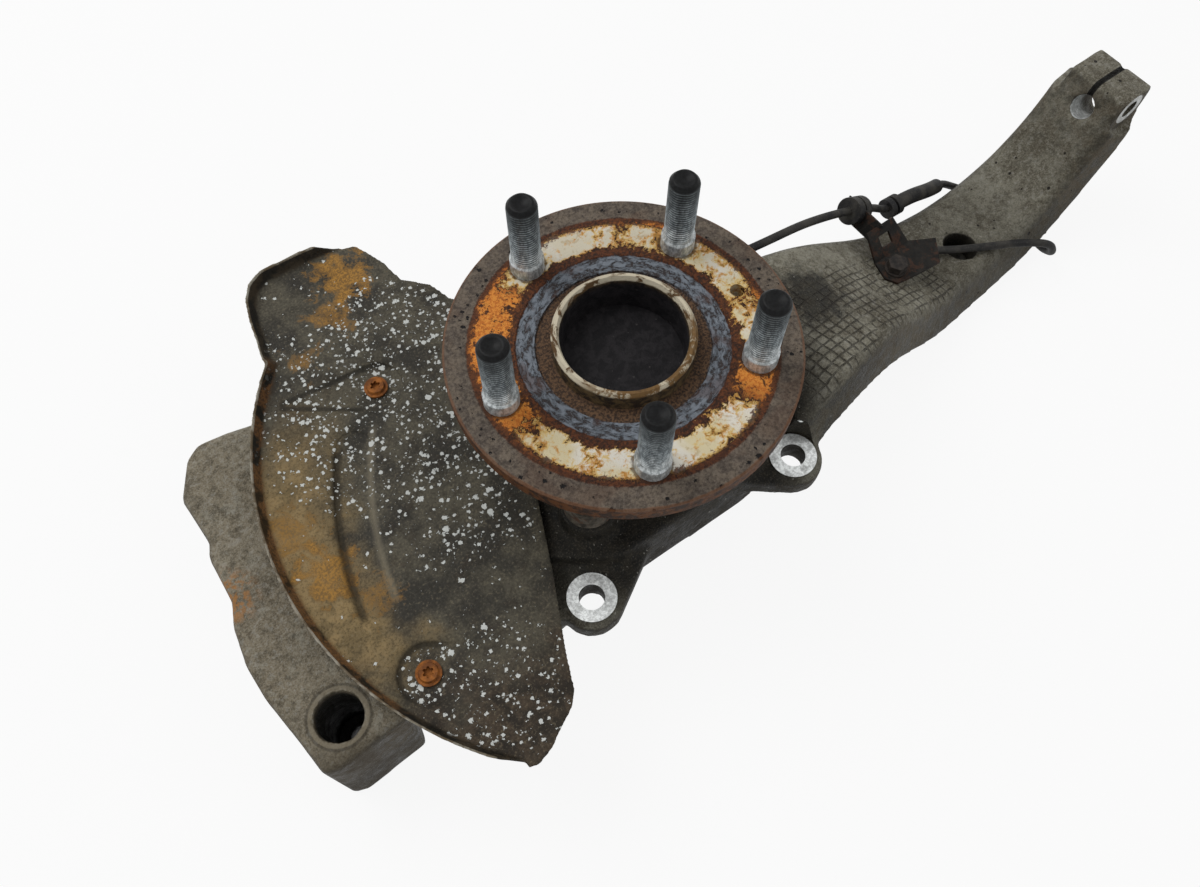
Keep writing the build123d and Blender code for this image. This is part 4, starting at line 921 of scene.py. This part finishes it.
# Bores and the clamp's slit
run = Vector((cos(radians(CLAMP_TILT)), 0, -sin(radians(CLAMP_TILT))))
mouth = Vector(CLAMP_MOUTH)
bores = [
    (LUG_HOLE_R, LUGS[0] + (-60,), LUGS[0] + (-112,)),
    (LUG_HOLE_R, LUGS[1] + (-60,), LUGS[1] + (-112,)),
    (BAR_BORE_R, BAR_BORE + (-60,), BAR_BORE + (-124,)),
    (NECK_HOLE_R - 0.2, NECK_HOLE + (-80,), NECK_HOLE + (-127,)),
    (CLAMP_BORE_R, mouth - run * 14, mouth + run * 45),
    (PINCH_R, (PINCH[0], PINCH[1] - 8, PINCH[2]), (PINCH[0], 30, PINCH[2])),
]
for radius, start, end in bores:
    carve(casting, "DIFFERENCE", *cylinder_mesh(radius, start, end))
first = mouth + run * 1
last = mouth + run * 45
slit = [(first.x, first.z), (last.x, last.z), (last.x, -30), (first.x, -30)]
carve(casting, "DIFFERENCE", *prism(slit, SLIT_Y - SLIT_W / 2, SLIT_Y + SLIT_W / 2))
smooth_faces(casting.data, 35)
wear(casting, cast)

# Shield with softened pressings


def fade_rim_end(mesh, start, then, side, reach=16.0):
    """Lets the turned rim rise out of the sheet at a free end; side tells which way it leans."""
    place = np.empty(len(mesh.vertices) * 3)
    mesh.vertices.foreach_get("co", place)
    p = place.reshape(-1, 3) / MM
    start, then = np.array(start), np.array(then)
    ahead = (then - start) / np.linalg.norm(then - start)
    out = side * np.array((ahead[1], -ahead[0]))
    along = (p[:, :2] - start) @ ahead
    aside = (p[:, :2] - start) @ out
    high = p[:, 2] - RIM_FOOT_Z
    chosen = (high > 0.1) & (along > -6) & (along < reach) & (aside > -3) & (aside < 7)
    kept = np.clip(along / reach, 0, 1)
    kept = kept * kept * (3 - 2 * kept)
    lost = (high * (1 - kept))[chosen]
    p[chosen, :2] -= out * (lost * 0.445)[:, None]
    p[chosen, 2] -= lost
    mesh.vertices.foreach_set("co", (p * MM).reshape(-1))
    mesh.update()


shield_mesh = voxel_copy("dust_shield", "pressed_shield", SHEET_VOXEL)
for rim_end in RIM_ENDS:
    fade_rim_end(shield_mesh, *rim_end)
soften_pressings(shield_mesh)
relax(shield_mesh, 4, shield_hold, along=(0, 0, 1))
relax(shield_mesh, 7, lambda p: (np.hypot(p[:, 0], p[:, 1]) < 150).astype(float), along=(1, 1, 0))
relax(shield_mesh, 12, lambda p: outside(p, RIM_CORNER, 14), along=(1, 1, 0))
relax(shield_mesh, 8, lambda p: outside(p, RIM_TIP, 12), along=(1, 1, 0))
shield = new_piece("pressed_shield", shield_mesh, "knuckle", "dust_shield")
smooth_faces(shield.data, 60)
wear(shield, sheet)

# Stage, light and camera


def floor_material():
    """Pale floor that keeps the shadow; the camera and reflections see it nearly white."""
    mat = bpy.data.materials.new("floor_pale")
    mat.use_nodes = True
    tree = mat.node_tree
    bsdf = tree.nodes["Principled BSDF"]
    bsdf.inputs["Base Color"].default_value = (0.6, 0.6, 0.6, 1)
    bsdf.inputs["Roughness"].default_value = 0.9
    bsdf.inputs["Specular IOR Level"].default_value = 0.0
    path = tree.nodes.new("ShaderNodeLightPath")
    seen = tree.nodes.new("ShaderNodeMath")
    seen.operation = "MAXIMUM"
    tree.links.new(path.outputs["Is Camera Ray"], seen.inputs[0])
    tree.links.new(path.outputs["Is Glossy Ray"], seen.inputs[1])
    share = tree.nodes.new("ShaderNodeMath")
    share.operation = "MULTIPLY"
    share.inputs[1].default_value = 0.9
    tree.links.new(seen.outputs[0], share.inputs[0])
    white = tree.nodes.new("ShaderNodeEmission")
    white.inputs["Strength"].default_value = 1.0
    blend = tree.nodes.new("ShaderNodeMixShader")
    tree.links.new(share.outputs[0], blend.inputs[0])
    tree.links.new(bsdf.outputs[0], blend.inputs[1])
    tree.links.new(white.outputs[0], blend.inputs[2])
    tree.links.new(blend.outputs[0], tree.nodes["Material Output"].inputs["Surface"])
    return mat


reach = 6.0
floor_z = cad_box[0][2] - 0.0002
corners = [(-reach, -reach), (reach, -reach), (reach, reach), (-reach, reach)]
floor_mesh = bpy.data.meshes.new("floor")
floor_mesh.from_pydata([corner + (floor_z,) for corner in corners], [], [(0, 1, 2, 3)])
floor = bpy.data.objects.new("floor", floor_mesh)
bpy.context.scene.collection.objects.link(floor)
floor.data.materials.append(floor_material())

world = bpy.data.worlds.new("soft_room")
bpy.context.scene.world = world
world.use_nodes = True
room = world.node_tree.nodes["Background"]
room.inputs["Color"].default_value = (1, 1, 1, 1)
path = world.node_tree.nodes.new("ShaderNodeLightPath")
straight = world.node_tree.nodes.new("ShaderNodeMath")
straight.operation = "MAXIMUM"
world.node_tree.links.new(path.outputs["Is Camera Ray"], straight.inputs[0])
world.node_tree.links.new(path.outputs["Is Glossy Ray"], straight.inputs[1])
level = world.node_tree.nodes.new("ShaderNodeMapRange")
level.inputs["To Min"].default_value = 0.6
level.inputs["To Max"].default_value = 0.96
world.node_tree.links.new(straight.outputs[0], level.inputs["Value"])
world.node_tree.links.new(level.outputs["Result"], room.inputs["Strength"])


def softbox(name, at, size, power):
    lamp = bpy.data.lights.new(name, "AREA")
    lamp.shape = "RECTANGLE"
    lamp.size, lamp.size_y = size
    lamp.energy = power
    obj = bpy.data.objects.new(name, lamp)
    obj.location = at
    obj.rotation_euler = (-Vector(at)).to_track_quat("-Z", "Y").to_euler()
    bpy.context.scene.collection.objects.link(obj)


softbox("key", (-0.5, 1.0, 1.5), (1.2, 1.2), 20)
softbox("fill", (1.3, -0.9, 1.2), (1.2, 1.2), 5)

camera_data = bpy.data.cameras.new("photo_camera")
camera_data.sensor_width = 36.0
camera_data.lens = CAMERA_LENS
camera = bpy.data.objects.new("photo_camera", camera_data)
bpy.context.scene.collection.objects.link(camera)
camera.location = Vector(CAMERA_AT) * MM
view = Vector(CAMERA_LOOKS_AT) - Vector(CAMERA_AT)
aim = view.to_track_quat("-Z", "Y").to_matrix().to_4x4()
camera.rotation_euler = (aim @ Matrix.Rotation(radians(CAMERA_ROLL), 4, "Z")).to_euler()
bpy.context.scene.camera = camera
bpy.context.scene.view_settings.view_transform = "Standard"
